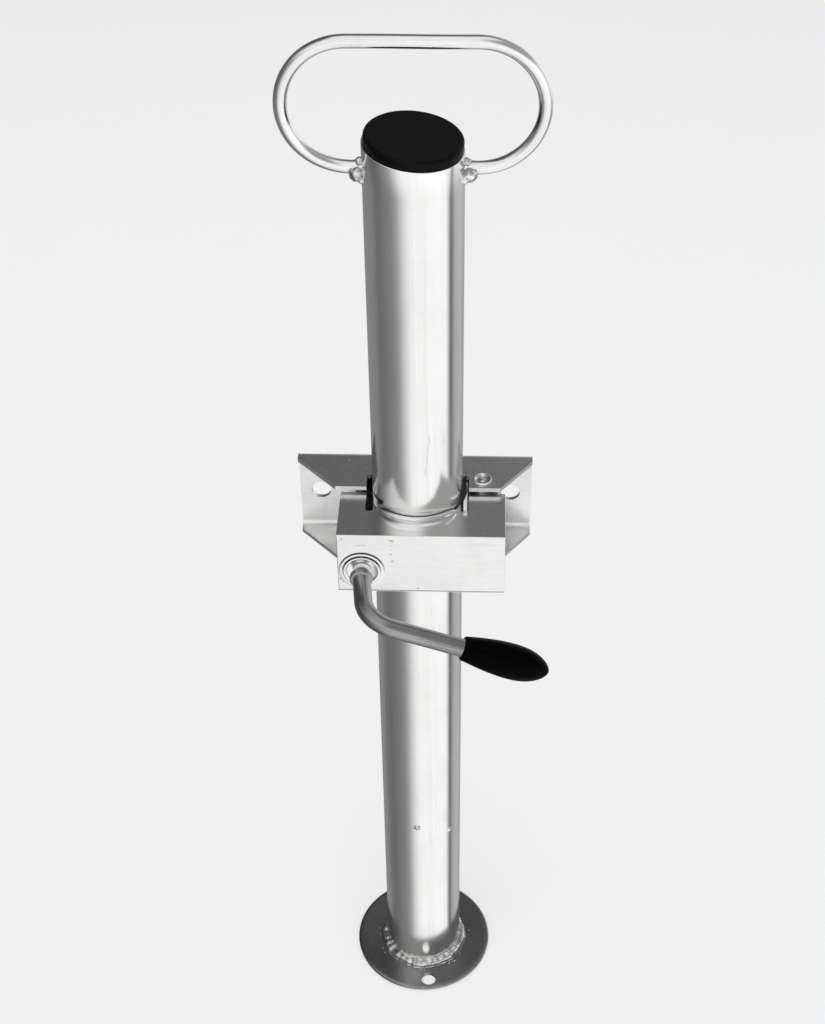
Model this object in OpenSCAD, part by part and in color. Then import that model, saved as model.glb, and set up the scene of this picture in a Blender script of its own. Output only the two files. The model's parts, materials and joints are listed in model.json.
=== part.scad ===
// Prop stand for a trailer's drawbar. A plain tube leg with a foot and a carrying handle
// slides in a bolted-on bracket, and a hinged clamp housing, drawn shut by a lever's screw,
// grips it between a rear saddle and a front jaw.
// Millimetres. +Z is up, -Y is the lever's side and +Y is the side that bolts to the trailer.
// The origin is on the tube's axis, at the underside of the foot.

/* [Leg tube] */
// Outside diameter of the leg tube
tube_d = 60; // [59:0.1:60]
// Wall of the leg tube
tube_wall = 3; // [2:0.5:4]
// Height of the tube's top on its own axis
leg_top = 737; // [700:1:780]
// Slope of the tube's cut end towards the +X side, in degrees
end_slope_side = 6; // [0:0.1:7]
// Slope of the tube's cut end towards the front, in degrees
end_slope_front = 3.6; // [0:0.1:5]

/* [Foot] */
// Diameter of the round foot plate
foot_d = 110; // [100:1:130]
// Thickness of the foot plate
foot_t = 4; // [3:0.5:6]
// Diameter of the peg hole in the foot plate
foot_hole_d = 12; // [8:0.5:12]
// Distance of the peg hole from the tube's axis
foot_hole_r = 46; // [44:0.5:47]
// Turn of the peg hole from the front towards +X, in degrees
foot_hole_turn = 7; // [0:1:45]
// Leg length of the weld between tube and foot
foot_weld_leg = 6; // [4:0.5:7]

/* [End cap] */
// Diameter of the cap's disc
cap_d = 58.6; // [56:0.1:60]
// Thickness of the cap's disc
cap_t = 6; // [4:0.5:8]
// Depth of the cap's plug in the tube
plug_depth = 18; // [12:1:30]
// Wall of the cap's hollow plug
plug_wall = 2.5; // [2:0.5:4]

/* [Carry handle] */
// Diameter of the handle's round bar
bar_d = 8; // [6:0.5:9]
// Centre-line radius of the handle's round ends
handle_bend_r = 38; // [34:0.5:42]
// Length of the handle's straight top
handle_straight = 74; // [70:1:84]
// Distance of the handle's lower bar below the tube's top
handle_drop = 14; // [12:0.5:16]

/* [Travel stops] */
// Height of the front stop pip
front_pip_z = 177; // [150:1:200]
// Height of the side stop pip
side_pip_z = 162; // [150:1:200]
// Diameter of a stop pip
pip_d = 7; // [5:0.5:8]

/* [Mounting bracket] */
// Plate thickness of the bracket and the clamp housing
plate_t = 3; // [2.5:0.5:3]
// Height of the bracket's underside
bracket_bottom = 423; // [400:1:430]
// Height of the bracket
bracket_h = 65; // [65:1:70]
// Width of the bracket's web
bracket_w = 160; // [150:1:170]
// Shift of the web's middle from the tube's axis
bracket_shift = -3; // [-5:0.5:0]
// Distance of the web's back face behind the tube's axis
web_back = 38.5; // [37:0.5:39]
// Distance of the flanges' front edge before the tube's axis
flange_front = 1; // [0:0.5:3]
// Half width of the flanges' front edge
flange_front_half = 55; // [50:1:58]
// Depth of the square corners beside the web
corner_depth = 9.5; // [5:0.5:12]
// Spacing of the two mounting holes
bolt_spacing = 131; // [130:1:134]
// Diameter of the mounting holes, for M12 bolts
bolt_hole_d = 13.5; // [12.5:0.1:14]
// Height of the mounting holes
bolt_z = 456; // [450:1:460]

/* [Hinge] */
// Distance of the hinge pin beside the tube's axis
hinge_x = 43; // [43:0.5:45]
// Distance of the hinge pin behind the tube's axis
hinge_y = 8; // [8:0.5:13]
// Diameter of the hinge pin
pin_d = 10; // [8:0.5:10]

/* [Clamp housing] */
// Outer width of the housing
housing_w = 110; // [104:1:111]
// Shift of the housing's middle from the tube's axis
housing_shift = 3.5; // [3:0.5:5]
// Distance of the housing's front face before the tube's axis
housing_front = 45.3; // [44.5:0.1:50]
// Height of the housing's underside above the bracket's underside
housing_lift = 11.5; // [10:0.5:12]
// Half width of the slotted opening beside the tube
slot_reach = 34; // [33.5:0.5:34.5]
// Width of a slot beside the tube
slot_w = 5; // [4.5:0.1:5]
// Outer radius of the drawn collar round the tube
collar_r = 40.4; // [38:0.2:41]

/* [Clamp screw and lever] */
// Distance of the screw beside the tube's axis
screw_x = -35.5; // [-38:0.5:-35.5]
// Height of the screw
screw_z = 452.5; // [450:0.5:455]
// Diameter of the screw's thread
screw_d = 10; // [8:0.5:10]
// Pitch of the screw's thread
screw_pitch = 1.5; // [1:0.25:2]
// Diameter of the lever's round bar
lever_d = 12; // [10:0.5:12]
// Distance of the lever's arm before the housing's face
lever_reach = 47; // [45:0.5:60]
// Lean of the lever's stem towards its arm, in degrees
lever_lean = 7; // [0:1:10]
// Centre-line radius of the lever's bend
lever_bend_r = 20; // [14:1:22]
// Hang of the lever's arm below level, in degrees
lever_hang = 19.5; // [0:0.5:45]
// Length from the screw's axis to the end of the grip
lever_len = 131; // [120:1:140]
// Length of the grip
grip_len = 60; // [50:1:65]
// Largest diameter of the grip
grip_d = 23.6; // [20:0.2:26]

/* [Hidden] */
$fn = 96;
// a cut runs past its solid by this much
eps = 0.5;
tube_r = tube_d / 2;
bore_r = tube_r - tube_wall;
// gap between the sliding tube and the parts that guide it
slide_gap = 0.3;
// gap between the housing's top and the bracket's upper flange
head_gap = 2.2;
// radial clearance between the hinge pin and its bores
pin_clearance = 0.05;
handle_bar_z = leg_top - handle_drop;
bracket_top = bracket_bottom + bracket_h;
web_front = web_back - plate_t;
housing_bottom = bracket_bottom + housing_lift;
housing_top = bracket_top - plate_t - head_gap;
housing_h = housing_top - housing_bottom;
housing_left = housing_shift - housing_w / 2;
housing_right = housing_shift + housing_w / 2;
guide_r = tube_r + slide_gap;
screw_r = screw_d / 2;
lever_r = lever_d / 2;
// the stepped boss in the housing's face that the screw turns in, from its rim inwards
cup_lip_r = 15.2;
cup_wall_r = 12.4;
cup_inside_r = 10.4;
cup_depth = 0.8;
cup_base_t = 2.4;
// the screw's neck and its sleeve stand out this far before the face
neck_out = 6;
// colours
zinc = "silver";
bright_zinc = "gainsboro";
dark_zinc = "gray";
black_plastic = [0.08, 0.08, 0.08];

// a round ring from inner to outer radius
module ring(inner, outer, height) {
    difference() {
        cylinder(r = outer, h = height);
        translate([0, 0, -eps]) cylinder(r = inner, h = height + 2 * eps);
    }
}

// a curved plate that stands about the Z axis, from one angle to another, 0 being the front
module curved_plate(inner, outer, height, from, to) {
    rotate([0, 0, from - 90])
        rotate_extrude(angle = to - from)
            translate([inner, 0]) square([outer - inner, height]);
}

// puts a piece that stands on +Z on the screw's axis, pointing forwards from the housing's face
module on_screw() {
    translate([screw_x, -housing_front, screw_z]) rotate([90, 0, 0]) children();
}

// puts a piece of the lever on the end of the screw's neck, with the arm along +X
module on_neck() {
    on_screw() translate([0, 0, neck_out]) rotate([0, 0, -lever_hang]) children();
}

// the sloping plane of the tube's cut end
module on_cut_end() {
    translate([0, 0, leg_top]) rotate([end_slope_front, end_slope_side, 0]) children();
}

// a flat rectangle with round corners, centred on X and standing on Y = 0
module round_rect(width, height, r) {
    translate([-width / 2 + r, 0]) square([width - 2 * r, height]);
    translate([-width / 2, r]) square([width, height - 2 * r]);
    for (x = [-1, 1], y = [r, height - r])
        translate([x * (width / 2 - r), y]) circle(r = r);
}

// ---------------------------------------------------------------- leg

module leg_tube() {
    color(bright_zinc)
    difference() {
        translate([0, 0, foot_t]) ring(bore_r, tube_r, leg_top);
        on_cut_end() translate([-tube_d, -tube_d, 0]) cube([2 * tube_d, 2 * tube_d, leg_top]);
    }
}

// flat disc with a rounded rim and one peg hole at the front
module foot_plate() {
    rim_r = foot_t / 2;
    color(dark_zinc)
    difference() {
        rotate_extrude() {
            square([foot_d / 2 - rim_r, foot_t]);
            translate([foot_d / 2 - rim_r, rim_r]) circle(r = rim_r);
            // the flat half of the rim's section keeps the profile on one side of the axis
            translate([foot_d / 2 - 2 * rim_r, 0]) square([rim_r, foot_t]);
        }
        rotate([0, 0, foot_hole_turn - 90])
            translate([foot_hole_r, 0, -eps]) cylinder(d = foot_hole_d, h = foot_t + 2 * eps);
    }
}

// fillet weld all round the tube's base
module foot_weld() {
    toe = tube_r + foot_weld_leg;
    top = foot_t + foot_weld_leg;
    color(bright_zinc)
    rotate_extrude()
        polygon([
            [tube_r, foot_t], [toe, foot_t], [toe - 0.4, foot_t + 1.4], [toe - 1.8, foot_t + 3],
            [tube_r + 2.2, top - 1.4], [tube_r + 0.8, top], [tube_r, top]
        ]);
}

// black cap: a disc on the sloping end and a hollow plug in the bore
module end_cap() {
    edge_r = 1.6;
    color(black_plastic)
    difference() {
        union() {
            on_cut_end()
                rotate_extrude() {
                    square([cap_d / 2 - edge_r, cap_t]);
                    square([cap_d / 2, cap_t - edge_r]);
                    translate([cap_d / 2 - edge_r, cap_t - edge_r]) circle(r = edge_r);
                }
            difference() {
                translate([0, 0, leg_top - plug_depth]) cylinder(r = bore_r - 0.05, h = plug_depth + cap_t);
                on_cut_end() translate([-tube_d, -tube_d, cap_t / 2]) cube([2 * tube_d, 2 * tube_d, tube_d]);
            }
        }
        // the plug is hollow from below, up to the disc's underside
        difference() {
            translate([0, 0, leg_top - plug_depth - eps]) cylinder(r = bore_r - plug_wall, h = 2 * plug_depth);
            on_cut_end() translate([-tube_d, -tube_d, 1]) cube([2 * tube_d, 2 * tube_d, tube_d]);
        }
    }
}

// bail of round bar: a stadium outline whose two ends butt on the tube's sides
module carry_handle() {
    half = handle_straight / 2;
    mid_z = handle_bar_z + handle_bend_r;
    color(zinc)
    difference() {
        union() {
            for (side = [-1, 1]) {
                translate([side * half, 0, mid_z])
                    rotate([90, 0, 0])
                        rotate([0, 0, -side * 90])
                            rotate_extrude(angle = 180)
                                translate([handle_bend_r, 0]) circle(d = bar_d);
                translate([side * half, 0, handle_bar_z])
                    rotate([0, -side * 90, 0])
                        cylinder(d = bar_d, h = half - bore_r);
            }
            translate([-half, 0, mid_z + handle_bend_r])
                rotate([0, 90, 0])
                    cylinder(d = bar_d, h = handle_straight);
        }
        cylinder(r = tube_r, h = leg_top + eps);
    }
}

// one weld blob of two lobes where the handle's left end meets the tube
module handle_weld_left() {
    lobe_r = 5.6;
    color(zinc)
    difference() {
        union() {
            translate([-tube_r - 2.6, -3.4, handle_bar_z - 2]) sphere(r = lobe_r);
            translate([-tube_r - 2, 3.4, handle_bar_z - 1]) sphere(r = lobe_r);
        }
        cylinder(r = tube_r, h = leg_top + eps);
        translate([-handle_straight, 0, handle_bar_z])
            rotate([0, 90, 0])
                cylinder(d = bar_d, h = 2 * handle_straight);
    }
}

module handle_weld_right() {
    mirror([1, 0, 0]) handle_weld_left();
}

// two low plug welds that stop the leg before the foot reaches the clamp
module stop_pips() {
    root = 2;
    proud = 1.5;
    color(zinc)
    difference() {
        for (pip = [[-5, front_pip_z], [47, side_pip_z]])
            rotate([0, 0, pip[0] - 90])
                translate([tube_r - root, 0, pip[1]])
                    rotate([0, 90, 0])
                        cylinder(d1 = pip_d + 1.5, d2 = pip_d - 2.5, h = root + proud);
        rotate([0, 0, 15]) cylinder(r = tube_r, h = leg_top);
    }
}

// ---------------------------------------------------------------- bracket

// plan of a bracket flange: wide at the web, narrow at its front edge
module flange_plan() {
    left = bracket_shift - bracket_w / 2;
    right = bracket_shift + bracket_w / 2;
    corner_y = web_back - corner_depth;
    polygon([
        [left, web_back], [left, corner_y], [-flange_front_half, -flange_front],
        [flange_front_half, -flange_front], [right, corner_y], [right, web_back]
    ]);
}

// the opening in a plate for the tube, with a round-ended slot at each side of it
module tube_opening(clear_r, slot_end, slot_from) {
    slot_x = slot_reach - slot_w / 2;
    circle(r = clear_r);
    for (side = [-1, 1]) {
        translate([side * slot_x, slot_end]) circle(d = slot_w);
        translate([side * slot_x - slot_w / 2, min(slot_end, slot_from)])
            square([slot_w, abs(slot_end - slot_from)]);
    }
}

// one bent channel: web with two bolt holes, and two flanges notched for the tube
module mounting_bracket() {
    bend_r = 6;
    color(bright_zinc)
    difference() {
        intersection() {
            // channel section, drawn in the YZ plane and run along X
            translate([-bracket_w, 0, bracket_bottom])
                rotate([90, 0, 90])
                    linear_extrude(2 * bracket_w)
                        difference() {
                            translate([web_back - bracket_w / 2, 0]) round_rect(bracket_w, bracket_h, bend_r);
                            translate([web_front - bracket_w / 2, plate_t])
                                round_rect(bracket_w, bracket_h - 2 * plate_t, bend_r - plate_t);
                        }
            translate([0, 0, bracket_bottom - eps]) linear_extrude(bracket_h + 2 * eps) flange_plan();
        }
        // openings for the tube in both flanges
        translate([0, 0, bracket_bottom - eps])
            linear_extrude(bracket_h + 2 * eps) {
                tube_opening(tube_r + 1.5, 10, -tube_r);
                translate([-slot_reach, -tube_r]) square([2 * slot_reach, tube_r]);
            }
        for (side = [-1, 1])
            translate([bracket_shift + side * bolt_spacing / 2, web_front - eps, bolt_z])
                rotate([-90, 0, 0])
                    cylinder(d = bolt_hole_d, h = plate_t + 2 * eps);
        translate([hinge_x, hinge_y, bracket_bottom - eps])
            cylinder(r = pin_d / 2 + pin_clearance, h = bracket_h + 2 * eps);
        // drain hole for the plating bath
        translate([-48, 28, bracket_top - plate_t - eps]) cylinder(d = 3, h = plate_t + 2 * eps);
    }
}

// curved plate on the web that the tube bears on
module rear_saddle() {
    color(zinc)
    translate([0, 0, housing_bottom])
        curved_plate(guide_r, web_front, housing_h, 138, 222);
}

// two upright beads that fill the wedge between the saddle and the web
module saddle_welds() {
    color(zinc)
    translate([0, 0, housing_bottom + 3])
        linear_extrude(housing_h - 6)
            difference() {
                for (side = [-1, 1])
                    polygon([[side * 6, 31], [side * 14, 28.5], [side * 18, web_front], [side * 6, web_front]]);
                circle(r = web_front);
            }
}

// hexagon nut welded on the web, bored clear so that the screw can swing with the housing
module screw_nut() {
    nut_across = 17;
    nut_h = 9;
    color(zinc)
    translate([screw_x, web_front, screw_z])
        rotate([90, 0, 0])
            difference() {
                cylinder(d = nut_across / cos(30), h = nut_h, $fn = 6);
                translate([0, 0, -eps]) cylinder(r = screw_r + 0.8, h = nut_h + 2 * eps);
            }
}

// headed pin through both flanges, with a dimple in its head and a groove for the clip
module hinge_pin() {
    head_r = 6.4;
    head_h = 1.6;
    dimple_r = 3.6;
    stub = 5;
    color(zinc)
    translate([hinge_x, hinge_y, 0])
        difference() {
            union() {
                translate([0, 0, bracket_bottom - stub]) cylinder(d = pin_d, h = bracket_h + stub);
                translate([0, 0, bracket_top]) cylinder(r = head_r, h = head_h - 0.6);
                translate([0, 0, bracket_top + head_h - 0.6]) cylinder(r1 = head_r, r2 = head_r - 0.6, h = 0.6);
            }
            translate([0, 0, bracket_top + 0.4]) cylinder(r = dimple_r, h = head_h);
            translate([0, 0, bracket_bottom - 3]) ring(pin_d / 2 - 0.6, pin_d, 1.2);
        }
}

module hinge_washer() {
    color(zinc)
    translate([hinge_x, hinge_y, bracket_bottom - 1.7]) ring(pin_d / 2 + 0.1, 9, 1.6);
}

// open ring in the pin's groove
module hinge_circlip() {
    color(dark_zinc)
    translate([hinge_x, hinge_y, bracket_bottom - 2.9])
        rotate([0, 0, 120])
            rotate_extrude(angle = 300)
                translate([pin_d / 2 - 0.5, 0]) square([2.6, 1]);
}

// short tube that carries the housing on the lower flange
module hinge_spacer() {
    color(zinc)
    translate([hinge_x, hinge_y, bracket_bottom + plate_t])
        ring(pin_d / 2 + pin_clearance, 8, housing_lift - plate_t - slide_gap);
}

// ---------------------------------------------------------------- clamp housing

// plan of the housing's top and bottom plates, with the ear that reaches the hinge pin
module housing_ear_plan() {
    ear_r = 11;
    translate([slot_reach, -8]) square([hinge_x + ear_r - slot_reach, hinge_y + 8]);
    translate([hinge_x, hinge_y]) circle(r = ear_r);
}

// pressed box, open at the back, with slots beside the tube and a hole for the screw cup
module clamp_housing() {
    bend_r = 3;
    back_y = 0;
    depth = housing_front + back_y;
    color(bright_zinc)
    difference() {
        union() {
            difference() {
                translate([housing_left, 0, housing_bottom])
                    rotate([90, 0, 90])
                        linear_extrude(housing_w)
                            translate([depth / 2 - housing_front, 0]) round_rect(2 * depth, housing_h, bend_r);
                // square off the front and the back of the doubled section
                translate([housing_left - eps, back_y, housing_bottom - eps])
                    cube([housing_w + 2 * eps, 2 * depth, housing_h + 2 * eps]);
                translate([housing_left - eps, -housing_front - 2 * depth, housing_bottom - eps])
                    cube([housing_w + 2 * eps, 2 * depth, housing_h + 2 * eps]);
                // the hollow inside the plates
                translate([housing_left + plate_t, -housing_front + plate_t, housing_bottom + plate_t])
                    cube([housing_w - 2 * plate_t, 2 * depth, housing_h - 2 * plate_t]);
            }
            for (z = [housing_bottom, housing_top - plate_t])
                translate([0, 0, z]) linear_extrude(plate_t) housing_ear_plan();
        }
        for (z = [housing_bottom - eps, housing_top - plate_t - eps])
            translate([0, 0, z])
                linear_extrude(plate_t + 2 * eps)
                    tube_opening(tube_r + 1, -slot_reach / 2 - 0.5, tube_d);
        translate([hinge_x, hinge_y, housing_bottom - eps])
            cylinder(r = pin_d / 2 + pin_clearance, h = housing_h + 2 * eps);
        // the cup's hole also relieves the inside of the left end plate
        on_screw() translate([0, 0, -3 * plate_t]) cylinder(r = cup_wall_r + 0.05, h = 4 * plate_t);
    }
}

// section of the drawn collar, standing on Z = 0
module collar_section() {
    lip_r = 1.2;
    inner = tube_r + 0.6;
    translate([inner, 0]) square([2 * lip_r, 4.4 - lip_r]);
    translate([inner + lip_r, 4.4 - lip_r]) circle(r = lip_r);
    polygon([
        [inner + 2 * lip_r - 0.2, 0], [inner + 2 * lip_r - 0.2, 2.6], [inner + 3.6, 3.2], [inner + 5, 3],
        [inner + 7, 2.2], [collar_r - 0.8, 0.9], [collar_r, 0]
    ]);
}

// the collar hugs the front of the tube between the two slots
module guide_collar() {
    color(bright_zinc)
    translate([0, 0, housing_top])
        rotate([0, 0, -90 - 54])
            rotate_extrude(angle = 108)
                collar_section();
}

module lower_guide_collar() {
    color(bright_zinc)
    translate([0, 0, housing_bottom])
        mirror([0, 0, 1])
            rotate([0, 0, -90 - 54])
                rotate_extrude(angle = 108)
                    collar_section();
}

// curved jaw round the front of the tube
module front_jaw() {
    jaw_t = 3;
    jaw_h = housing_h - 2 * plate_t - 3;
    color(zinc)
    translate([0, 0, housing_bottom + plate_t + 1.5])
        curved_plate(guide_r, guide_r + jaw_t, jaw_h, -60, 60);
}

// upright web beside the tube on the hinge's side, from the housing's front back to its ears;
// its tab stands up through the slot and the flange's notch
module hinge_web() {
    web_t = 2.4;
    web_x = tube_r + 0.8;
    web_back_y = 7;
    tab_front = -19;
    tab_top = bracket_top - 1.5;
    color(zinc)
    difference() {
        union() {
            translate([web_x, plate_t - housing_front, housing_bottom + plate_t])
                cube([web_t, housing_front - plate_t + web_back_y, housing_h - 2 * plate_t]);
            translate([web_x, tab_front, housing_bottom + plate_t + 1])
                cube([web_t, web_back_y - tab_front, tab_top - housing_bottom - plate_t - 1]);
        }
        // the jaw's end passes through the web
        translate([0, 0, housing_bottom]) cylinder(r = guide_r + 3, h = 2 * housing_h);
    }
}

// two ribs that carry the jaw's load to the housing's front
module jaw_ribs() {
    rib_t = 4;
    rib_z = housing_bottom + plate_t + 6;
    color(zinc)
    difference() {
        for (x = [-14, 14])
            translate([x - rib_t / 2, -housing_front + plate_t, rib_z])
                cube([rib_t, 20, housing_h - 2 * plate_t - 12]);
        translate([0, 0, rib_z - eps]) cylinder(r = guide_r + 3, h = housing_h);
    }
}

// tube between the housing's two ears that turns on the hinge pin
module hinge_tube() {
    color(zinc)
    translate([hinge_x, hinge_y, housing_bottom + plate_t])
        ring(pin_d / 2 + pin_clearance, 8, housing_h - 2 * plate_t);
}

// shallow stepped boss pressed in the housing's face, which the lever's screw turns in
module screw_cup() {
    lip_t = 0.7;
    color(bright_zinc)
    on_screw() {
        translate([0, 0, -cup_depth]) ring(cup_inside_r, cup_wall_r, cup_depth + 2 * lip_t);
        ring(cup_wall_r - 0.1, cup_lip_r, lip_t);
        translate([0, 0, -cup_depth - cup_base_t]) ring(screw_r + 0.4, cup_wall_r, cup_base_t + 0.1);
    }
}

module screw_washer() {
    color(zinc)
    on_screw() translate([0, 0, -cup_depth - cup_base_t - 1.8]) ring(screw_r + 0.2, 8.5, 1.5);
}

// ---------------------------------------------------------------- lever

// screw with a plain neck that stands out at the front and a threaded end at the back
module clamp_screw() {
    tip = housing_front + web_front - 1.5;
    thread_len = 38;
    thread_depth = 0.9;
    turns = floor(thread_len / screw_pitch);
    clip_z = cup_depth + cup_base_t + 2.1;
    color(zinc)
    on_screw()
        difference() {
            union() {
                translate([0, 0, thread_len - tip]) cylinder(r = screw_r, h = tip - thread_len + neck_out);
                translate([0, 0, -tip])
                    rotate_extrude()
                        polygon([
                            [0, 0],
                            for (i = [0:turns - 1])
                                each [
                                    [screw_r - thread_depth, i * screw_pitch],
                                    [screw_r - 0.05, (i + 0.5) * screw_pitch]
                                ],
                            [screw_r - thread_depth, turns * screw_pitch],
                            [screw_r - 0.05, thread_len + 0.1],
                            [0, thread_len + 0.1]
                        ]);
            }
            translate([0, 0, -clip_z - 1.2]) ring(screw_r - 0.6, screw_d, 1.2);
        }
}

// spacer sleeve between the boss and the lever's shoulder
module thrust_sleeve() {
    color(zinc)
    on_screw() translate([0, 0, slide_gap - cup_depth]) ring(screw_r, 6.1, neck_out + cup_depth - slide_gap);
}

// open ring that keeps the screw in the housing
module screw_circlip() {
    clip_z = cup_depth + cup_base_t + 2.2;
    color(dark_zinc)
    on_screw()
        translate([0, 0, -clip_z - 1])
            rotate([0, 0, 60])
                rotate_extrude(angle = 300)
                    translate([screw_r - 0.5, 0]) square([2.6, 1]);
}

// the lever's round stem, which leans towards the arm and runs on behind the neck's end
module leaning_stem(length) {
    rotate([0, lever_lean, 0]) translate([0, 0, -lever_d]) cylinder(r = lever_r, h = length + lever_d);
}

// stop collar on the root of the lever's bar, before the sleeve
module lever_shoulder() {
    shoulder_h = 4;
    shoulder_r = 7.5;
    color(zinc)
    on_neck()
        difference() {
            union() {
                translate([0, 0, 0.05]) cylinder(r = shoulder_r, h = shoulder_h - 1);
                translate([0, 0, shoulder_h - 0.95]) cylinder(r1 = shoulder_r, r2 = shoulder_r - 0.7, h = 0.9);
            }
            leaning_stem(2 * shoulder_h);
        }
}

// round bar whose stem comes forwards with a slight lean, bends, and hangs down to the side
module lever_bar() {
    grip_cover = 16;
    reach = lever_reach - neck_out;
    stem = (reach - lever_bend_r * (1 - sin(lever_lean))) / cos(lever_lean);
    arm_x = stem * sin(lever_lean) + lever_bend_r * cos(lever_lean);
    // the bar swells a hair in its bend, which takes in the ends of the two straights
    swell = 0.04;
    lap = 0.5;
    color(zinc)
    on_neck() {
        difference() {
            leaning_stem(stem + lap);
            translate([-lever_d, -lever_d, -2 * lever_d]) cube(2 * lever_d);
        }
        translate([arm_x, 0, reach - lever_bend_r])
            rotate([90, 0, 0])
                rotate([0, 0, 90])
                    rotate_extrude(angle = 90 - lever_lean)
                        translate([lever_bend_r, 0]) circle(r = lever_r + swell);
        translate([arm_x - lap, 0, reach])
            rotate([0, 90, 0])
                cylinder(r = lever_r, h = lever_len - arm_x - grip_cover + lap);
    }
}

// radius of the grip at a share of its length from the bar's side
function grip_radius(share) =
    let (belly = 0.56, neck_r = 7.9, max_r = grip_d / 2)
    share < belly
        ? neck_r + (max_r - neck_r) * pow(sin(90 * share / belly), 1.05)
        : max_r * pow(max(0, 1 - pow((share - belly) / (1 - belly), 2.2)), 0.6);

// black drop-shaped grip pushed on the lever's bar
module lever_grip() {
    steps = 30;
    mouth_r = lever_r + 0.6;
    color(black_plastic)
    on_neck()
        translate([lever_len - grip_len, 0, lever_reach - neck_out])
            rotate([0, 90, 0])
                difference() {
                    rotate_extrude()
                        polygon([
                            [0, 0],
                            [mouth_r, 0],
                            for (i = [1:steps - 1])
                                [grip_radius(i / steps), grip_len * i / steps],
                            [0, grip_len]
                        ]);
                    translate([0, 0, -eps]) cylinder(r = lever_r, h = grip_len - 16 + eps);
                }
}

leg_tube();
foot_plate();
foot_weld();
end_cap();
carry_handle();
handle_weld_left();
handle_weld_right();
stop_pips();
mounting_bracket();
rear_saddle();
saddle_welds();
screw_nut();
hinge_pin();
hinge_washer();
hinge_circlip();
hinge_spacer();
clamp_housing();
guide_collar();
lower_guide_collar();
front_jaw();
jaw_ribs();
hinge_web();
hinge_tube();
screw_cup();
screw_washer();
clamp_screw();
thrust_sleeve();
screw_circlip();
lever_shoulder();
lever_bar();
lever_grip();
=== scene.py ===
# %% [markdown]
# # A trailer prop stand, piece by piece
# A prop stand carries the front of a parked trailer. It is a plain steel tube with a round foot and a
# carrying bail. The tube slides in a bracket that bolts to the trailer, and a small hinged housing, drawn
# shut by a screw with a cranked lever, grips it. Nearly every piece is mild steel with a bright zinc
# plating, so this lesson is mostly about making plain steel parts look pressed, bent, drawn and welded,
# and about lighting bare metal.
#
# The engineering model is loaded first and never changed. Its sizes set where everything goes.

# %% Load the engineering model
import json
import math
import bmesh
import bpy
from mathutils import Matrix, Vector, noise


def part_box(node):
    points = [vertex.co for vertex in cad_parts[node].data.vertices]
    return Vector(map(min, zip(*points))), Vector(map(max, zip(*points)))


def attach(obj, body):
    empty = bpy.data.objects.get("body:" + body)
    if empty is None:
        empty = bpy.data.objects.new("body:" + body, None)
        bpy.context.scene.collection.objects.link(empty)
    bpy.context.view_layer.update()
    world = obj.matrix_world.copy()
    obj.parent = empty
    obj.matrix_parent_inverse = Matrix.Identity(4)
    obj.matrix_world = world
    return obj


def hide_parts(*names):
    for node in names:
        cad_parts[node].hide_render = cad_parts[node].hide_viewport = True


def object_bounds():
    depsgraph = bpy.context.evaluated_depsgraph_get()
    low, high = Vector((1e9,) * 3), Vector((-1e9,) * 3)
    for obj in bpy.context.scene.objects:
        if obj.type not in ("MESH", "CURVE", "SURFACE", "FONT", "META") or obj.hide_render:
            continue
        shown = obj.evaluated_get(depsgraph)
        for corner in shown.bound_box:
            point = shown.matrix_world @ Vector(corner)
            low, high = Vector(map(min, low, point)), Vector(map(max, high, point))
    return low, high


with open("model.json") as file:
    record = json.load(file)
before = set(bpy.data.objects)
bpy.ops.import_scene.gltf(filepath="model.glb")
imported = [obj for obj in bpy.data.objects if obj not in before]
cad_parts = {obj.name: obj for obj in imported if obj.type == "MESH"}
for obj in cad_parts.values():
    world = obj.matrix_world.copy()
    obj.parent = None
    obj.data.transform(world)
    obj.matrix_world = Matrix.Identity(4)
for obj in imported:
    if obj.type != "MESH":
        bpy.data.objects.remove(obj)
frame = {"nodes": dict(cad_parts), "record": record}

cad_low, cad_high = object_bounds()
MM = 0.001
stand_size = [round((high - low) / MM) for low, high in zip(cad_low, cad_high)]
print("stand is", stand_size, "mm across, deep and tall")


# %% [markdown]
# The driving sizes are read off the engineering model, so the looks follow it if it changes. The tube's
# axis is the Z axis, and the lever's screw points forwards, which is -Y.

# %% Read the driving sizes
def middle(node):
    low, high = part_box(node)
    return (low + high) / 2


tube_low, tube_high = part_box("leg_tube")
TUBE_R = (tube_high.x - tube_low.x) / 2
TUBE_BOTTOM = tube_low.z
foot_low, foot_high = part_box("foot_plate")
FOOT_R = round((foot_high.x - foot_low.x) / 2, 3)
FOOT_TOP = foot_high.z
bail_low, bail_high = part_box("carry_handle")
BAIL_R = (bail_high.y - bail_low.y) / 2
housing_low, housing_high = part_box("clamp_housing")
screw = middle("clamp_screw")
SCREW_X, SCREW_Z = screw.x, screw.z
FACE_Y = housing_low.y
NECK_OUT = FACE_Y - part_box("clamp_screw")[0].y
pin = middle("hinge_pin")
bracket_low, bracket_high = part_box("mounting_bracket")
# the tube and every sheet are this thick
WALL = 3 * MM
print("tube radius", round(TUBE_R / MM, 1), "mm and foot radius", round(FOOT_R / MM, 1), "mm")
print("bail bar", round(2 * BAIL_R / MM, 1), "mm thick")
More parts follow.
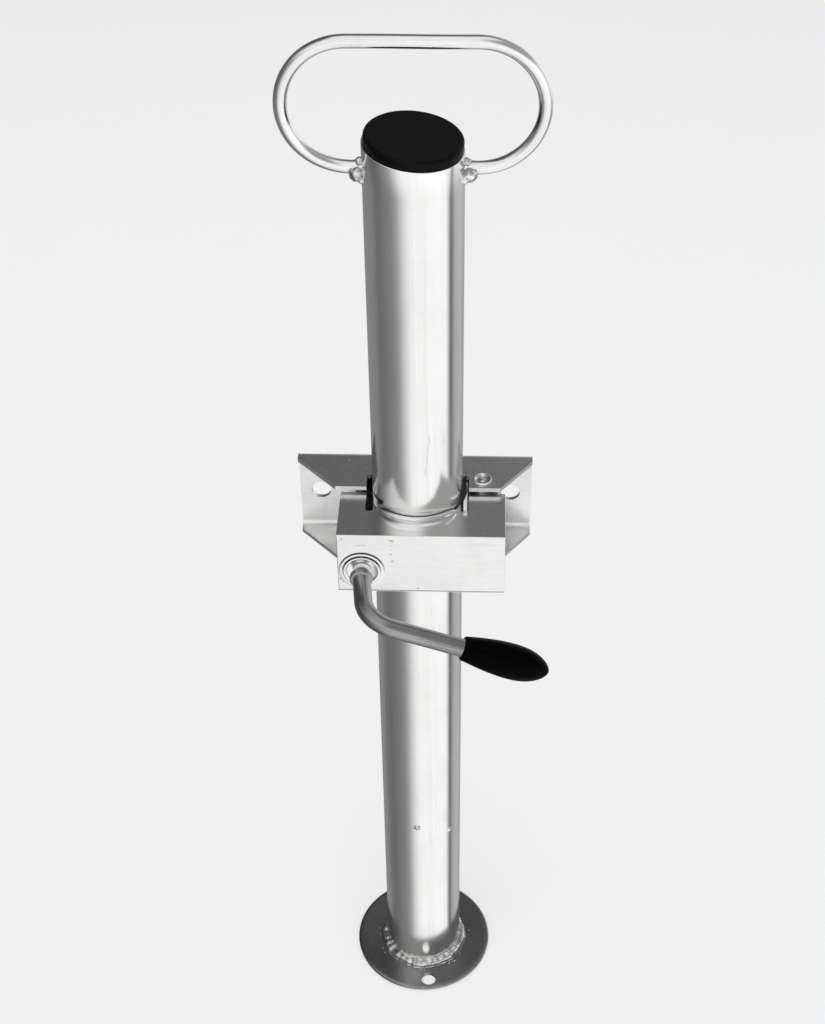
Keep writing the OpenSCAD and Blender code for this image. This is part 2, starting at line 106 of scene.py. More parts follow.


# %% [markdown]
# ## Helpers for solid pieces
# A piece is a mesh that rides on one of the stand's four bodies: the bracket, the leg, the housing or the
# lever. `add_piece` makes the object from plain lists, gives it a finish, and hides the engineering part
# that it stands for.

# %% Add a piece
def add_piece(name, shape, finish, body, replaces=(), sharp=40):
    """A piece from (points, faces, flat map), where the map may be None."""
    points, faces, uv = shape
    mesh = bpy.data.meshes.new(name)
    mesh.from_pydata([tuple(p) for p in points], [], faces)
    if uv:
        layer = mesh.uv_layers.new(name="UVMap")
        corner = 0
        for face in uv:
            for u, v in face:
                layer.data[corner].uv = (u, v)
                corner += 1
    piece = bpy.data.objects.new(name, mesh)
    bpy.context.scene.collection.objects.link(piece)
    return finish_piece(piece, finish, body, replaces, sharp)


def finish_piece(piece, finish, body, replaces=(), sharp=40):
    mesh = piece.data
    shape = bmesh.new()
    shape.from_mesh(mesh)
    bmesh.ops.recalc_face_normals(shape, faces=shape.faces)
    shape.to_mesh(mesh)
    shape.free()
    mesh.shade_smooth()
    mesh.set_sharp_from_angle(angle=math.radians(sharp))
    mesh.materials.clear()
    mesh.materials.append(finish)
    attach(piece, body)
    if replaces:
        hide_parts(*replaces)
    return piece


# %% [markdown]
# Most round parts of the stand are turned or rolled, so one helper spins a section round an axis. A
# second one runs a round section along a path, for bent bar. Both lay a flat map of the surface in
# metres, round by along, so that grinding and drawing marks can follow the part later on.

# %% Spin and sweep
def spun(section, steps=96, turn=360.0, start=0.0, place=None):
    """Points, faces and map of a closed section [(radius, height)] spun about Z."""
    closed = turn >= 359.9
    rings = steps if closed else steps + 1
    count = len(section)
    lengths = [0.0]
    for a, b in zip(section, section[1:] + section[:1]):
        lengths.append(lengths[-1] + math.dist(a, b))
    wide = max(r for r, _ in section)
    points, faces, uv = [], [], []
    for i in range(rings):
        angle = math.radians(start + turn * i / steps)
        for r, z in section:
            points.append(Vector((r * math.cos(angle), r * math.sin(angle), z)))
    for i in range(steps):
        j = (i + 1) % rings
        for k in range(count):
            m = (k + 1) % count
            faces.append((i * count + k, j * count + k, j * count + m, i * count + m))
            u0, u1 = (math.radians(turn) * wide * s / steps for s in (i, i + 1))
            v0, v1 = lengths[k], lengths[k + 1]
            uv.append([(u0, v0), (u1, v0), (u1, v1), (u0, v1)])
    if not closed:
        faces.append(tuple(range(count)))
        faces.append(tuple(reversed(range((rings - 1) * count, rings * count))))
        uv += [[(r, z) for r, z in section], [(r, z) for r, z in reversed(section)]]
    if place:
        points = [place @ p for p in points]
    return points, faces, uv


def swept(path, radius, sides=32, wobble=0.0):
    """Points, faces and map of a round bar along a path.

    The radius is a number, or a function of the length run so far.
    """
    path = [Vector(p) for p in path]
    run, points, faces, uv = 0.0, [], [], []
    runs = []
    side = None
    for i, here in enumerate(path):
        ahead = (path[min(i + 1, len(path) - 1)] - path[max(i - 1, 0)]).normalized()
        if side is None:
            side = ahead.cross(Vector((0.31, 0.9, 0.3))).normalized()
        side = (side - ahead * side.dot(ahead)).normalized()
        up = ahead.cross(side)
        if i:
            run += (here - path[i - 1]).length
        runs.append(run)
        r = radius(run) if callable(radius) else radius
        for k in range(sides):
            angle = 2 * math.pi * k / sides
            out = side * math.cos(angle) + up * math.sin(angle)
            bump = wobble * noise.noise((here + out * r) * 90)
            points.append(here + out * (r + bump))
    for i in range(len(path) - 1):
        for k in range(sides):
            m = (k + 1) % sides
            faces.append((i * sides + k, i * sides + m, (i + 1) * sides + m, (i + 1) * sides + k))
            r = radius(runs[i]) if callable(radius) else radius
            u0, u1 = (2 * math.pi * r * s / sides for s in (k, k + 1))
            uv.append([(u0, runs[i]), (u1, runs[i]), (u1, runs[i + 1]), (u0, runs[i + 1])])
    for ring in (range(sides), range((len(path) - 1) * sides, len(path) * sides)):
        faces.append(tuple(ring))
        uv.append([(0.0, 0.0)] * sides)
    return points, faces, uv


def arc(centre, radius, start, end, steps):
    """Points (a, b) round a centre, angles in degrees."""
    return [
        (centre[0] + radius * math.cos(math.radians(start + (end - start) * i / steps)),
         centre[1] + radius * math.sin(math.radians(start + (end - start) * i / steps)))
        for i in range(steps + 1)
    ]


print("spin and sweep ready")


# %% [markdown]
# Sheet parts come from a press brake and a punch. Their outlines are already right in the engineering
# model, but its edges are knife sharp. `softened` copies such a part, joins its triangles into flat faces
# and rolls every edge over by a few tenths of a millimetre, which is what a deburring drum and a zinc
# bath leave.

# %% Soften the edges of an engineering part
def softened(node, name, finish, body, roll=0.35, segments=2, sharp=32):
    mesh = frame["nodes"][node].data.copy()
    mesh.name = name
    shape = bmesh.new()
    shape.from_mesh(mesh)
    bmesh.ops.remove_doubles(shape, verts=shape.verts, dist=0.000002)
    bmesh.ops.dissolve_limit(shape, angle_limit=math.radians(0.6), verts=shape.verts, edges=shape.edges)
    edges = [e for e in shape.edges if len(e.link_faces) == 2 and e.calc_face_angle(0) > math.radians(sharp)]
    bmesh.ops.bevel(
        shape, geom=edges, offset=roll * MM, offset_type="OFFSET", segments=segments, profile=0.5,
        affect="EDGES", clamp_overlap=True,
    )
    shape.to_mesh(mesh)
    shape.free()
    piece = bpy.data.objects.new(name, mesh)
    bpy.context.scene.collection.objects.link(piece)
    finish_piece(piece, finish, body, (node,), sharp=28)
    flat = piece.modifiers.new("even_shading", "WEIGHTED_NORMAL")
    flat.keep_sharp = True
    return piece


# %% [markdown]
# ## Finishes
# Each finish is a small tree of nodes. A few helpers keep the trees short: `Finish` starts a material,
# `add` puts in a node with its settings, and `feed` gives a socket a value or a link. Three of them are
# masks, which are 1 where a mark lies and fade to 0 round it: `blot` is a ragged oval, `inside` a box and
# `ring` a circle on an upright face.

# %% A short way to write node trees
class Finish:
    def __init__(self, name):
        self.material = bpy.data.materials.new(name)
        self.material.use_nodes = True
        self.tree = self.material.node_tree
        self.shader = self.tree.nodes["Principled BSDF"]

    def add(self, kind, settings=None, **inputs):
        made = self.tree.nodes.new("ShaderNode" + kind)
        for key, value in (settings or {}).items():
            setattr(made, key, value)
        for key, value in inputs.items():
            self.feed(made, key.replace("_", " "), value)
        return made

    def feed(self, made, socket, value):
        target = made.inputs[int(socket)] if socket.isdigit() else made.inputs[socket]
        if isinstance(value, bpy.types.NodeSocket):
            self.tree.links.new(value, target)
        else:
            target.default_value = value

    def maths(self, operation, a, b=0.0):
        made = self.add("Math", {"operation": operation})
        self.feed(made, "0", a)
        self.feed(made, "1", b)
        return made.outputs[0]

    def stretched(self, scale, use_map=False):
        """Coordinates of the piece in metres times a scale for each axis."""
        source = self.add("TexCoord").outputs["UV" if use_map else "Object"]
        return self.add("Mapping", {"vector_type": "POINT"}, Vector=source, Scale=scale).outputs[0]

    def grain(self, scale, use_map=False, detail=4.0, roughness=0.6):
        coords = self.stretched(scale, use_map)
        return self.add("TexNoise", Vector=coords, Scale=1.0, Detail=detail, Roughness=roughness).outputs["Fac"]

    def span(self, value, low, high, to_low=0.0, to_high=1.0):
        made = self.add("MapRange", {"clamp": True})
        sockets = ("Value", "From Min", "From Max", "To Min", "To Max")
        for socket, v in zip(sockets, (value, low, high, to_low, to_high)):
            self.feed(made, socket, v)
        return made.outputs[0]

    def mix(self, amount, a, b):
        made = self.add("Mix", {"data_type": "RGBA"})
        self.feed(made, "0", amount)
        self.feed(made, "6", (*a, 1.0) if isinstance(a, tuple) else a)
        self.feed(made, "7", (*b, 1.0) if isinstance(b, tuple) else b)
        return made.outputs[2]

    def blot(self, centre, size):
        """1 inside a ragged oval of the given half sizes, round a centre, both in millimetres."""
        stray = 0.8 * MM
        coords = self.add("TexCoord").outputs["Object"]
        ragged = self.add("TexNoise", Vector=coords, Scale=900.0, Detail=2.0).outputs["Color"]
        shake = self.add("VectorMath", {"operation": "MULTIPLY_ADD"})
        for socket, v in zip("012", (ragged, (2 * stray,) * 3, (-stray,) * 3)):
            self.feed(shake, socket, v)
        moved = coords
        for operation, v in (("ADD", shake.outputs[0]), ("SUBTRACT", [c * MM for c in centre]),
                             ("DIVIDE", [c * MM for c in size])):
            step = self.add("VectorMath", {"operation": operation})
            self.feed(step, "0", moved)
            self.feed(step, "1", v)
            moved = step.outputs[0]
        far = self.add("VectorMath", {"operation": "LENGTH"})
        self.feed(far, "0", moved)
        return self.span(far.outputs["Value"], 0.55, 1.0, 1.0, 0.0)

    def inside(self, low, high, soft):
        """1 in a box between two corners in millimetres, fading over a soft share of its half size."""
        coords = self.add("TexCoord").outputs["Object"]
        centre = [(a + b) / 2 * MM for a, b in zip(low, high)]
        half = [(b - a) / 2 * MM for a, b in zip(low, high)]
        for operation, v in (("SUBTRACT", centre), ("DIVIDE", half), ("ABSOLUTE", None)):
            step = self.add("VectorMath", {"operation": operation})
            self.feed(step, "0", coords)
            if v:
                self.feed(step, "1", v)
            coords = step.outputs[0]
        split = self.add("SeparateXYZ", Vector=coords).outputs
        worst = self.maths("MAXIMUM", self.maths("MAXIMUM", split[0], split[1]), split[2])
        return self.span(worst, 1.0 - soft, 1.0, 1.0, 0.0)

    def ring(self, centre, radius, width):
        """1 on the upper part of a thin ring that faces forwards, in millimetres, fading down its sides."""
        split = self.add("SeparateXYZ", Vector=self.add("TexCoord").outputs["Object"]).outputs
        across = self.maths("SUBTRACT", split[0], centre[0] * MM)
        up = self.maths("SUBTRACT", split[2], centre[2] * MM)
        across_squared = self.maths("MULTIPLY", across, across)
        up_squared = self.maths("MULTIPLY", up, up)
        far = self.maths("SQRT", self.maths("ADD", across_squared, up_squared))
        off = self.maths("ABSOLUTE", self.maths("SUBTRACT", far, radius * MM))
        thin = self.span(off, 0.35 * width * MM, 0.5 * width * MM, 1.0, 0.0)
        top = self.span(self.maths("DIVIDE", up, far), -0.15, 0.55)
        return self.maths("MULTIPLY", thin, top)

    def bump(self, height, strength, distance, under=None):
        made = self.add("Bump", Height=height, Strength=strength, Distance=distance)
        if under is not None:
            self.feed(made, "Normal", under)
        return made.outputs[0]


print("finish helper ready")


# %% [markdown]
# ### Bright zinc
# Zinc plate is a thin bright skin on steel, so it shows whatever was done to the steel before: the draw
# marks along a tube, the rolling grain of a sheet. On top it has a cloudy film from the rinse bath,
# scratches that handling leaves, and small dark pits. `zinc` makes all of these from stretched noise, and
# each part only changes the direction and the amount. The scratches follow the flat map where a part has
# one, or the part's own axes where it hasn't.
#
# Three lists place single marks. Stains and reflections are ragged ovals of dull film, for real stains and
# for a painted dark reflection. Grease and shade is black in a box: grease and painted shade inside the
# housing, painted shade in the slots and on the web behind it, and thin dark lines on the housing's edges.
# Rings are thin lines of painted shade on the upper arcs of a boss.

# %% Zinc finish
# black, both for grease and for painted shade in hollows
GREASE_AND_SHADE = (0.012, 0.012, 0.012)
# thin lines of painted shade on the upper arcs of a boss
SHADE_LINE = (0.05, 0.05, 0.05)


def zinc(
    name, tone, rough, draw, use_map=False, metal=1.0, cloud=0.10, marks=0.5, pits=0.35, bumpy=0.25,
    dark=0.55, streaky=0.16, stains_and_reflections=(), grease_and_shade=(), rings=(),
):
    """Zinc plate of a tone and a roughness; draw is how tightly its marks pack along each axis."""
    f = Finish(name)
    light = (tone, tone, tone * 0.992)
    dull = (tone * dark, tone * dark, tone * dark * 0.985)
    streaks = f.grain(draw, use_map, detail=5.0, roughness=0.65)
    fine = f.grain(tuple(s * 4.5 for s in draw), use_map, detail=3.0)
    film = f.grain((16.0, 16.0, 16.0), detail=6.0, roughness=0.62)
    smear = f.grain((55.0, 55.0, 30.0), detail=5.0, roughness=0.7)
    # long scratches: thin ridges of very stretched noise
    slant = f.grain(tuple(s * (0.55 if s == max(draw) else 1.7) for s in draw), use_map, detail=2.0)
    scratch = f.span(f.maths("ABSOLUTE", f.maths("SUBTRACT", slant, 0.5)), 0.0, 0.010, 1.0, 0.0)
    broken = f.span(f.grain((31.0, 31.0, 31.0), detail=2.0), 0.55, 0.72)
    scratch = f.maths("MULTIPLY", f.maths("MULTIPLY", scratch, broken), marks)
    # small round pits and specks of dirt
    cell = f.add("TexVoronoi", {"feature": "F1"}, Vector=f.stretched((420.0, 420.0, 420.0)), Scale=1.0)
    speck = f.maths("MULTIPLY", f.span(cell.outputs["Distance"], 0.06, 0.16, 1.0, 0.0),
                    f.span(f.grain((60.0, 60.0, 60.0), detail=3.0), 0.58, 0.70))
    speck = f.maths("MULTIPLY", speck, pits)
    wear_and_reflection = f.maths("ADD", scratch, speck)
    # real stains, and the tube's band of painted dark reflection
    for centre, size, depth in stains_and_reflections:
        wear_and_reflection = f.maths("ADD", wear_and_reflection, f.maths("MULTIPLY", f.blot(centre, size), depth))
    haze = f.maths("ADD", f.maths("MULTIPLY", f.span(film, 0.35, 0.68), cloud),
                   f.maths("MULTIPLY", f.span(smear, 0.5, 0.75), cloud * 0.8))
    drawn = f.maths("MULTIPLY", f.span(streaks, 0.42, 0.66), streaky)
    shade = f.maths("ADD", drawn, f.maths("ADD", wear_and_reflection, haze))
    skin = f.mix(f.span(shade, 0.0, 1.0), light, dull)
    # black boxes of grease and of painted shade in hollows, and dark edge lines
    for low, high, amount, soft in grease_and_shade:
        skin = f.mix(f.maths("MULTIPLY", f.inside(low, high, soft), amount), skin, GREASE_AND_SHADE)
    # painted shade on the upper arc of each ring, where its walls face up
    for centre, radius, width in rings:
        skin = f.mix(f.ring(centre, radius, width), skin, SHADE_LINE)
    f.feed(f.shader, "Base Color", skin)
    f.shader.inputs["Metallic"].default_value = metal
    dullness = f.maths("MULTIPLY", haze, 0.45)
    dullness = f.maths("ADD", dullness, f.maths("MULTIPLY", f.span(streaks, 0.3, 0.7), 0.05))
    dullness = f.maths("ADD", dullness, f.maths("MULTIPLY", wear_and_reflection, 0.3))
    f.feed(f.shader, "Roughness", f.span(f.maths("ADD", dullness, rough), 0.0, 1.0))
    relief = f.bump(fine, 0.10 * bumpy, 0.0004)
    relief = f.bump(streaks, 0.22 * bumpy, 0.0008, relief)
    relief = f.bump(smear, 0.30 * bumpy, 0.0016, relief)
    relief = f.bump(wear_and_reflection, -0.35 * bumpy, 0.0004, relief)
    f.feed(f.shader, "Normal", relief)
    return f.material


print("zinc finish can be mixed")


# %% [markdown]
# Each finish is then one call. The tube has a thin slanting scuff down its front, made of four short
# ovals in a row, and a long band of painted dark reflection low down on its left, which also dulls it.
# The direction of a draw is its smallest number: 7 along the tube, 40 along a sheet's width, 9 along the
# lever's bar.

# %% The zinc finishes
SHEET_DRAW = (40.0, 500.0, 500.0)
tube_scuffs_and_reflection = [
    ((x, -29.0, z), (0.6, 4.0, 5.2), 0.45)
    for x, z in ((8.9, 548.0), (8.2, 540.4), (7.5, 532.6), (6.6, 524.0))
]
# a long band of painted dark reflection down the lower left of the tube
tube_scuffs_and_reflection.append(((-22.8, -19.0, 200.0), (4.6, 9.0, 260.0), 0.42))
tube_zinc = zinc(
    "drawn_tube_zinc", tone=0.86, rough=0.12, draw=(900.0, 900.0, 7.0), marks=0.75, bumpy=0.07, streaky=0.08,
    stains_and_reflections=tube_scuffs_and_reflection,
)
bar_zinc = zinc(
    "bent_bar_zinc", tone=0.82, rough=0.11, draw=(900.0, 16.0, 16.0), use_map=True, bumpy=0.18, streaky=0.10,
)
lever_zinc = zinc(
    "rolled_bar_zinc", tone=0.42, rough=0.22, draw=(700.0, 9.0, 9.0), use_map=True, cloud=0.30, marks=0.9,
    pits=0.7, bumpy=0.30, dark=0.24, streaky=0.55,
)
turned_zinc = zinc(
    "turned_part_zinc", tone=0.78, rough=0.18, draw=(60.0, 2400.0, 2400.0), use_map=True, cloud=0.12, marks=0.4,
    bumpy=0.18,
)
foot_zinc = zinc(
    "foot_plate_zinc", tone=0.30, rough=0.19, draw=(220.0, 260.0, 240.0), cloud=0.40, marks=0.8, pits=0.9,
    bumpy=0.40, dark=0.4,
)
chalky_zinc = zinc("chalky_cut_zinc", tone=0.86, rough=0.40, draw=(60.0, 500.0, 500.0), metal=0.35)
# dark for grease and for painted shade, on the parts inside the housing and behind the tube
grease_and_shade_zinc = zinc(
    "grease_and_shade_inner_zinc", tone=0.12, rough=0.42, draw=(60.0, 400.0, 400.0), cloud=0.30, marks=0.4, dark=0.3,
)
print("zinc finishes:", [m.name for m in bpy.data.materials if "zinc" in m.name])


# %% [markdown]
# ### Weld metal and spring steel
# A weld bead is cast metal: rippled, a little glassy on its crests and dull in its folds. The relief
# itself is in the mesh, and the finish only adds small ripples and soot. Circlips are black phosphated
# spring steel.

# %% Weld and spring finishes
def weld_finish():
    f = Finish("weld_metal")
    ripple = f.grain((420.0, 420.0, 420.0), detail=5.0)
    soot = f.grain((150.0, 150.0, 150.0), detail=6.0, roughness=0.7)
    dirt = f.span(soot, 0.40, 0.68)
    f.feed(f.shader, "Base Color", f.mix(dirt, (0.78, 0.78, 0.77), (0.20, 0.20, 0.20)))
    f.shader.inputs["Metallic"].default_value = 1.0
    f.feed(f.shader, "Roughness", f.span(dirt, 0.0, 1.0, 0.18, 0.45))
    f.feed(f.shader, "Normal", f.bump(ripple, 0.16, 0.0006))
    return f.material


def spring_finish():
    f = Finish("phosphated_spring_steel")
    grit = f.grain((900.0, 900.0, 900.0), detail=4.0)
    f.feed(f.shader, "Base Color", f.mix(f.span(grit, 0.35, 0.7), (0.10, 0.10, 0.11), (0.24, 0.24, 0.25)))
    f.shader.inputs["Metallic"].default_value = 0.9
    f.feed(f.shader, "Roughness", f.span(grit, 0.3, 0.7, 0.38, 0.55))
    f.feed(f.shader, "Normal", f.bump(grit, 0.2, 0.0002))
    return f.material


weld_metal = weld_finish()
spring_steel = spring_finish()
print("weld and spring finishes ready")


# %% [markdown]
# ### Black plastics
# The end cap is moulded polyethylene: dull, with the fine spark-eroded grain of its mould and paler
# rubbed marks. The lever's grip is a harder, glossier black with a faint flow mark and scuffs.

# %% Plastic finishes
def plastic(name, black, worn, rough, grain_scale, grain_depth, scuffs, shine):
    f = Finish(name)
    grain = f.grain((grain_scale,) * 3, detail=3.0, roughness=0.5)
    cloudy = f.grain((28.0, 28.0, 28.0), detail=5.0)
    rub = f.grain((90.0, 520.0, 90.0), detail=4.0, roughness=0.7)
    rubbed = f.maths("MULTIPLY", f.span(rub, 0.58, 0.74), scuffs)
    f.feed(f.shader, "Base Color", f.mix(rubbed, (black, black, black * 1.03), (worn, worn, worn)))
    f.shader.inputs["Metallic"].default_value = 0.0
    f.shader.inputs["IOR"].default_value = 1.46
    f.shader.inputs["Specular IOR Level"].default_value = shine
    dullness = f.span(cloudy, 0.3, 0.7, rough - 0.05, rough + 0.05)
    f.feed(f.shader, "Roughness", f.maths("ADD", dullness, f.maths("MULTIPLY", rubbed, 0.15)))
    relief = f.bump(grain, grain_depth, 0.0003)
    f.feed(f.shader, "Normal", f.bump(rubbed, 0.08, 0.0002, relief))
    return f.material


cap_plastic = plastic(
    "moulded_cap_plastic", black=0.0015, worn=0.008, rough=0.42, grain_scale=2600.0, grain_depth=0.25,
    scuffs=0.45, shine=0.10,
)
grip_plastic = plastic(
    "moulded_grip_plastic", black=0.0006, worn=0.010, rough=0.32, grain_scale=1500.0, grain_depth=0.12,
    scuffs=0.25, shine=0.025,
)
print("plastic finishes ready")


# %% [markdown]
# ## The leg
# ### Tube
# The leg is drawn tube with its top cut on a slant. It is spun as a thin wall with many rings, and then
# every ring is moved up or down in proportion, so that the top one lies in the cutting plane. The plane is
# fitted through the points of the engineering tube's rim.

# %% Leg tube
def rim_plane():
    """Height above the floor, slope along x and slope along y of the tube's cut end."""
    top = [v.co for v in frame["nodes"]["leg_tube"].data.vertices if v.co.z > tube_high.z - 0.03]
    rows = [(1.0, p.x, p.y) for p in top]
    flat = [sum(r[i] * p.z for r, p in zip(rows, top)) for i in range(3)]
    square = Matrix([[sum(r[i] * r[j] for r in rows) for j in range(3)] for i in range(3)])
    return square.inverted() @ Vector(flat)


CUT_Z, CUT_X, CUT_Y = rim_plane()


def cut_height(x, y):
    return CUT_Z + CUT_X * x + CUT_Y * y


def leg_tube():
    """Spun a metre tall, then drawn down ring by ring to the slanted cut."""
    roll, rows = 0.5 * MM, 40
    bore = TUBE_R - WALL
    low, high = TUBE_BOTTOM, 1.0
    section = [(bore, low), (TUBE_R, low)]
    section += [(TUBE_R, low + (high - low) * i / rows) for i in range(1, rows)]
    section += arc((TUBE_R - roll, high - roll), roll, 0, 90, 3)
    section += arc((bore + roll, high - roll), roll, 90, 180, 3)
    points, faces, uv = spun(section, 144)
    for p in points:
        share = (p.z - low) / (high - low)
        p.z = low + share * (cut_height(p.x, p.y) - low)
    return add_piece("leg_tube_drawn", (points, faces, uv), tube_zinc, "leg", ("leg_tube",))


leg_tube()
slopes = [round(math.degrees(math.atan(slope)), 1) for slope in (CUT_X, CUT_Y)]
print("tube top slopes", slopes, "degrees across and deep")


# %% [markdown]
# ### End cap
# The cap is one moulding: a disc with a softly rounded edge over a hollow plug. Seen from above only the
# disc shows. Its top is very slightly domed, as mouldings that cool are, with a shallow step inside the
# edge. The disc lies on the slanted cut, and the plug goes straight down the bore.

# %% End cap
CAP_R = 29.3 * MM


def end_cap():
    outer, thick, edge = CAP_R, 6 * MM, 1.6 * MM
    slant = Vector((-CUT_X, -CUT_Y, 1)).normalized().to_track_quat("Z", "Y").to_matrix().to_4x4()
    place = Matrix.Translation((0, 0, CUT_Z)) @ slant
    rim = outer - edge
    section = [(0.02 * MM, 0.02 * MM), (outer - 0.4 * MM, 0.02 * MM), (outer, 0.5 * MM), (outer, thick - edge)]
    section += arc((rim, thick - edge), edge, 15, 90, 5)
    section += [(rim - 1.2 * MM, thick), (rim - 2.4 * MM, thick - 0.05 * MM)]
    section += [(rim * s, thick - 0.05 * MM + 0.04 * MM * (1 - s * s)) for s in (0.85, 0.7, 0.5, 0.3, 0.12)]
    section += [(0.02 * MM, thick - 0.02 * MM)]
    disc = spun(section, 128, place=place)
    add_piece("end_cap_disc", disc, cap_plastic, "leg", ("end_cap",), sharp=50)
    bore = TUBE_R - WALL
    wall = [(bore - 2.6 * MM, -18 * MM), (bore - 0.6 * MM, -18 * MM), (bore - 0.1 * MM, -17 * MM)]
    wall += [(bore - 0.1 * MM, -3 * MM), (bore - 2.6 * MM, -3 * MM)]
    plug = spun([(r, CUT_Z + z) for r, z in wall], 96)
    add_piece("end_cap_plug", plug, cap_plastic, "leg")


end_cap()
print("cap is", round(2 * CAP_R / MM, 1), "mm across")


# %% [markdown]
# ### Foot plate
# A laser-cut disc, pressed so that its rim stands up by a third of a millimetre, with one hole for a peg.
# The disc is spun from a section whose rim is fully round, and the hole is then cut with a boolean, at
# the place and size that the engineering record gives for the peg.

# %% Foot plate
def foot_plate():
    half, dish = FOOT_TOP / 2, 0.35 * MM
    section = [(0.3 * MM, 0.0), (FOOT_R - half, 0.0)]
    section += arc((FOOT_R - half, half), half, -90, 90, 10)[1:]
    section += [(FOOT_R - 5 * MM, FOOT_TOP - 0.1 * MM), (TUBE_R + 12 * MM, FOOT_TOP - dish)]
    section += [(TUBE_R, FOOT_TOP - dish), (0.3 * MM, FOOT_TOP - dish)]
    return add_piece("foot_plate_disc", spun(section, 144), foot_zinc, "leg", ("foot_plate",))


def drill(piece, centre, radius, depth):
    """Cuts a round hole along Z and drops the cutter."""
    cutter_mesh = bpy.data.meshes.new("peg_hole_cutter")
    shape = bmesh.new()
    bmesh.ops.create_cone(shape, cap_ends=True, segments=64, radius1=radius, radius2=radius, depth=depth)
    bmesh.ops.translate(shape, verts=shape.verts, vec=centre)
    shape.to_mesh(cutter_mesh)
    shape.free()
    cutter = bpy.data.objects.new("peg_hole_cutter", cutter_mesh)
    bpy.context.scene.collection.objects.link(cutter)
    cut = piece.modifiers.new("hole", "BOOLEAN")
    cut.operation, cut.solver, cut.object = "DIFFERENCE", "EXACT", cutter
    bpy.context.view_layer.update()
    made = bpy.data.meshes.new_from_object(piece.evaluated_get(bpy.context.evaluated_depsgraph_get()))
    piece.modifiers.clear()
    piece.data = made
    bpy.data.objects.remove(cutter)
    made.shade_smooth()
    made.set_sharp_from_angle(angle=math.radians(35))


foot = foot_plate()
peg = next(m for m in frame["record"]["mounts"] if m["name"] == "foot_peg_hole")
drill(foot, Vector(peg["pos_m"]), peg["dims"]["r_mm"] * MM, 0.03)
print("peg hole", round(2 * peg["dims"]["r_mm"], 1), "mm at", [round(c / MM, 1) for c in peg["pos_m"]])


# %% [markdown]
# ### Weld beads
# A hand-laid fillet weld is a row of overlapping puddles. Its toe wanders, its height rises and falls,
# and small drops freeze beside it. The ring at the foot is a section swept round the tube whose reach,
# height and ripple come from noise, so it never repeats. The blobs that hold the bail are lumps melted
# together: a few balls joined by a voxel remesh and then roughened along their own normals.

# %% Foot weld
def foot_weld():
    steps, across = 420, 11
    points, faces = [], []
    for i in range(steps):
        angle = 2 * math.pi * i / steps
        spot = Vector((math.cos(angle), math.sin(angle), 0))
        wander = noise.noise(spot * 3.1 + Vector((2.0, 0.5, 0.0)))
        drift = noise.noise(spot * 7.3 + Vector((0.0, 9.0, 1.0)))
        ripple = math.sin(i * 2 * math.pi / 13.0 + 3.0 * wander)
        reach = (5.5 + 1.3 * wander + 0.8 * drift + 0.12 * ripple) * MM
        rise = (4.9 + 1.1 * drift - 0.7 * wander + 0.12 * ripple) * MM
        for k in range(across):
            t = math.pi / 2 * k / (across - 1)
            swell = 0.74 + 0.16 * math.sin(2 * t) + 0.03 * noise.noise(spot * 12 + Vector((0, 0, k * 0.5)))
            swell = 1.0 if k in (0, across - 1) else swell + 0.10
            radius = TUBE_R - 0.2 * MM + reach * math.cos(t) * swell
            height = FOOT_TOP - 0.5 * MM + rise * math.sin(t) * swell
            points.append(Vector((radius * spot.x, radius * spot.y, height)))
        points.append(Vector(((TUBE_R - 1 * MM) * spot.x, (TUBE_R - 1 * MM) * spot.y, FOOT_TOP - 0.5 * MM)))
    ring = across + 1
    for i in range(steps):
        j = (i + 1) % steps
        for k in range(ring):
            m = (k + 1) % ring
            faces.append((i * ring + k, j * ring + k, j * ring + m, i * ring + m))
    shape = (points, faces, None)
    return add_piece("foot_weld_bead", shape, weld_metal, "leg", ("foot_weld",), sharp=60)


def lumps(name, balls, body, replaces=(), voxel=0.45, rough=0.35):
    """One weld blob from balls [(x, y, z, radius)], in metres."""
    shape = bmesh.new()
    for x, y, z, r in balls:
        made = bmesh.ops.create_icosphere(shape, subdivisions=3, radius=r)
        bmesh.ops.translate(shape, verts=made["verts"], vec=(x, y, z))
    mesh = bpy.data.meshes.new(name)
    shape.to_mesh(mesh)
    shape.free()
    piece = bpy.data.objects.new(name, mesh)
    bpy.context.scene.collection.objects.link(piece)
    melt = piece.modifiers.new("melt", "REMESH")
    melt.mode, melt.voxel_size = "VOXEL", voxel * MM
    relax = piece.modifiers.new("relax", "SMOOTH")
    relax.factor, relax.iterations = 0.5, 4
    bpy.context.view_layer.update()
    solid = bpy.data.meshes.new_from_object(piece.evaluated_get(bpy.context.evaluated_depsgraph_get()))
    piece.modifiers.clear()
    piece.data = solid
    for v in solid.vertices:
        bump = noise.noise(v.co * 420) + 0.5 * noise.noise(v.co * 900)
        v.co += v.normal * bump * rough * MM
    return finish_piece(piece, weld_metal, body, replaces, sharp=180)


foot_bead = foot_weld()
print("foot bead has", len(foot_bead.data.vertices), "points")


# %% [markdown]
# Spatter is the same blob again, much smaller, strewn with a seeded list of places near the bead.

# %% Spatter round the foot
def spatter(name, count, seed, body):
    balls = []
    for i in range(count):
        spot = Vector((seed + i * 1.7, seed * 0.3, 0.0))
        angle = math.radians(-90 + 150 * noise.noise(spot * 1.31))
        out = TUBE_R + (6.5 + 5.0 * abs(noise.noise(spot * 2.7 + Vector((5, 0, 0))))) * MM
        size = (0.45 + 0.75 * abs(noise.noise(spot * 3.9))) * MM
        balls.append((out * math.cos(angle), out * math.sin(angle), FOOT_TOP - 0.3 * MM + size * 0.3, size))
    return lumps(name, balls, body, voxel=0.22, rough=0.12)


foot_spatter = spatter("foot_weld_spatter", 16, 4.0, "leg")
print("spatter has", len(foot_spatter.data.vertices), "points")


# %% [markdown]
# ### Carrying bail
# An 8 mm bar bent round two posts into a flat loop, its ends butted on the tube. The path is two half
# circles and three straights. Real bends flatten the bar by a hair and never lie quite in one plane, so
# the path gets a slow wander of a fraction of a millimetre that fades out at the welds.

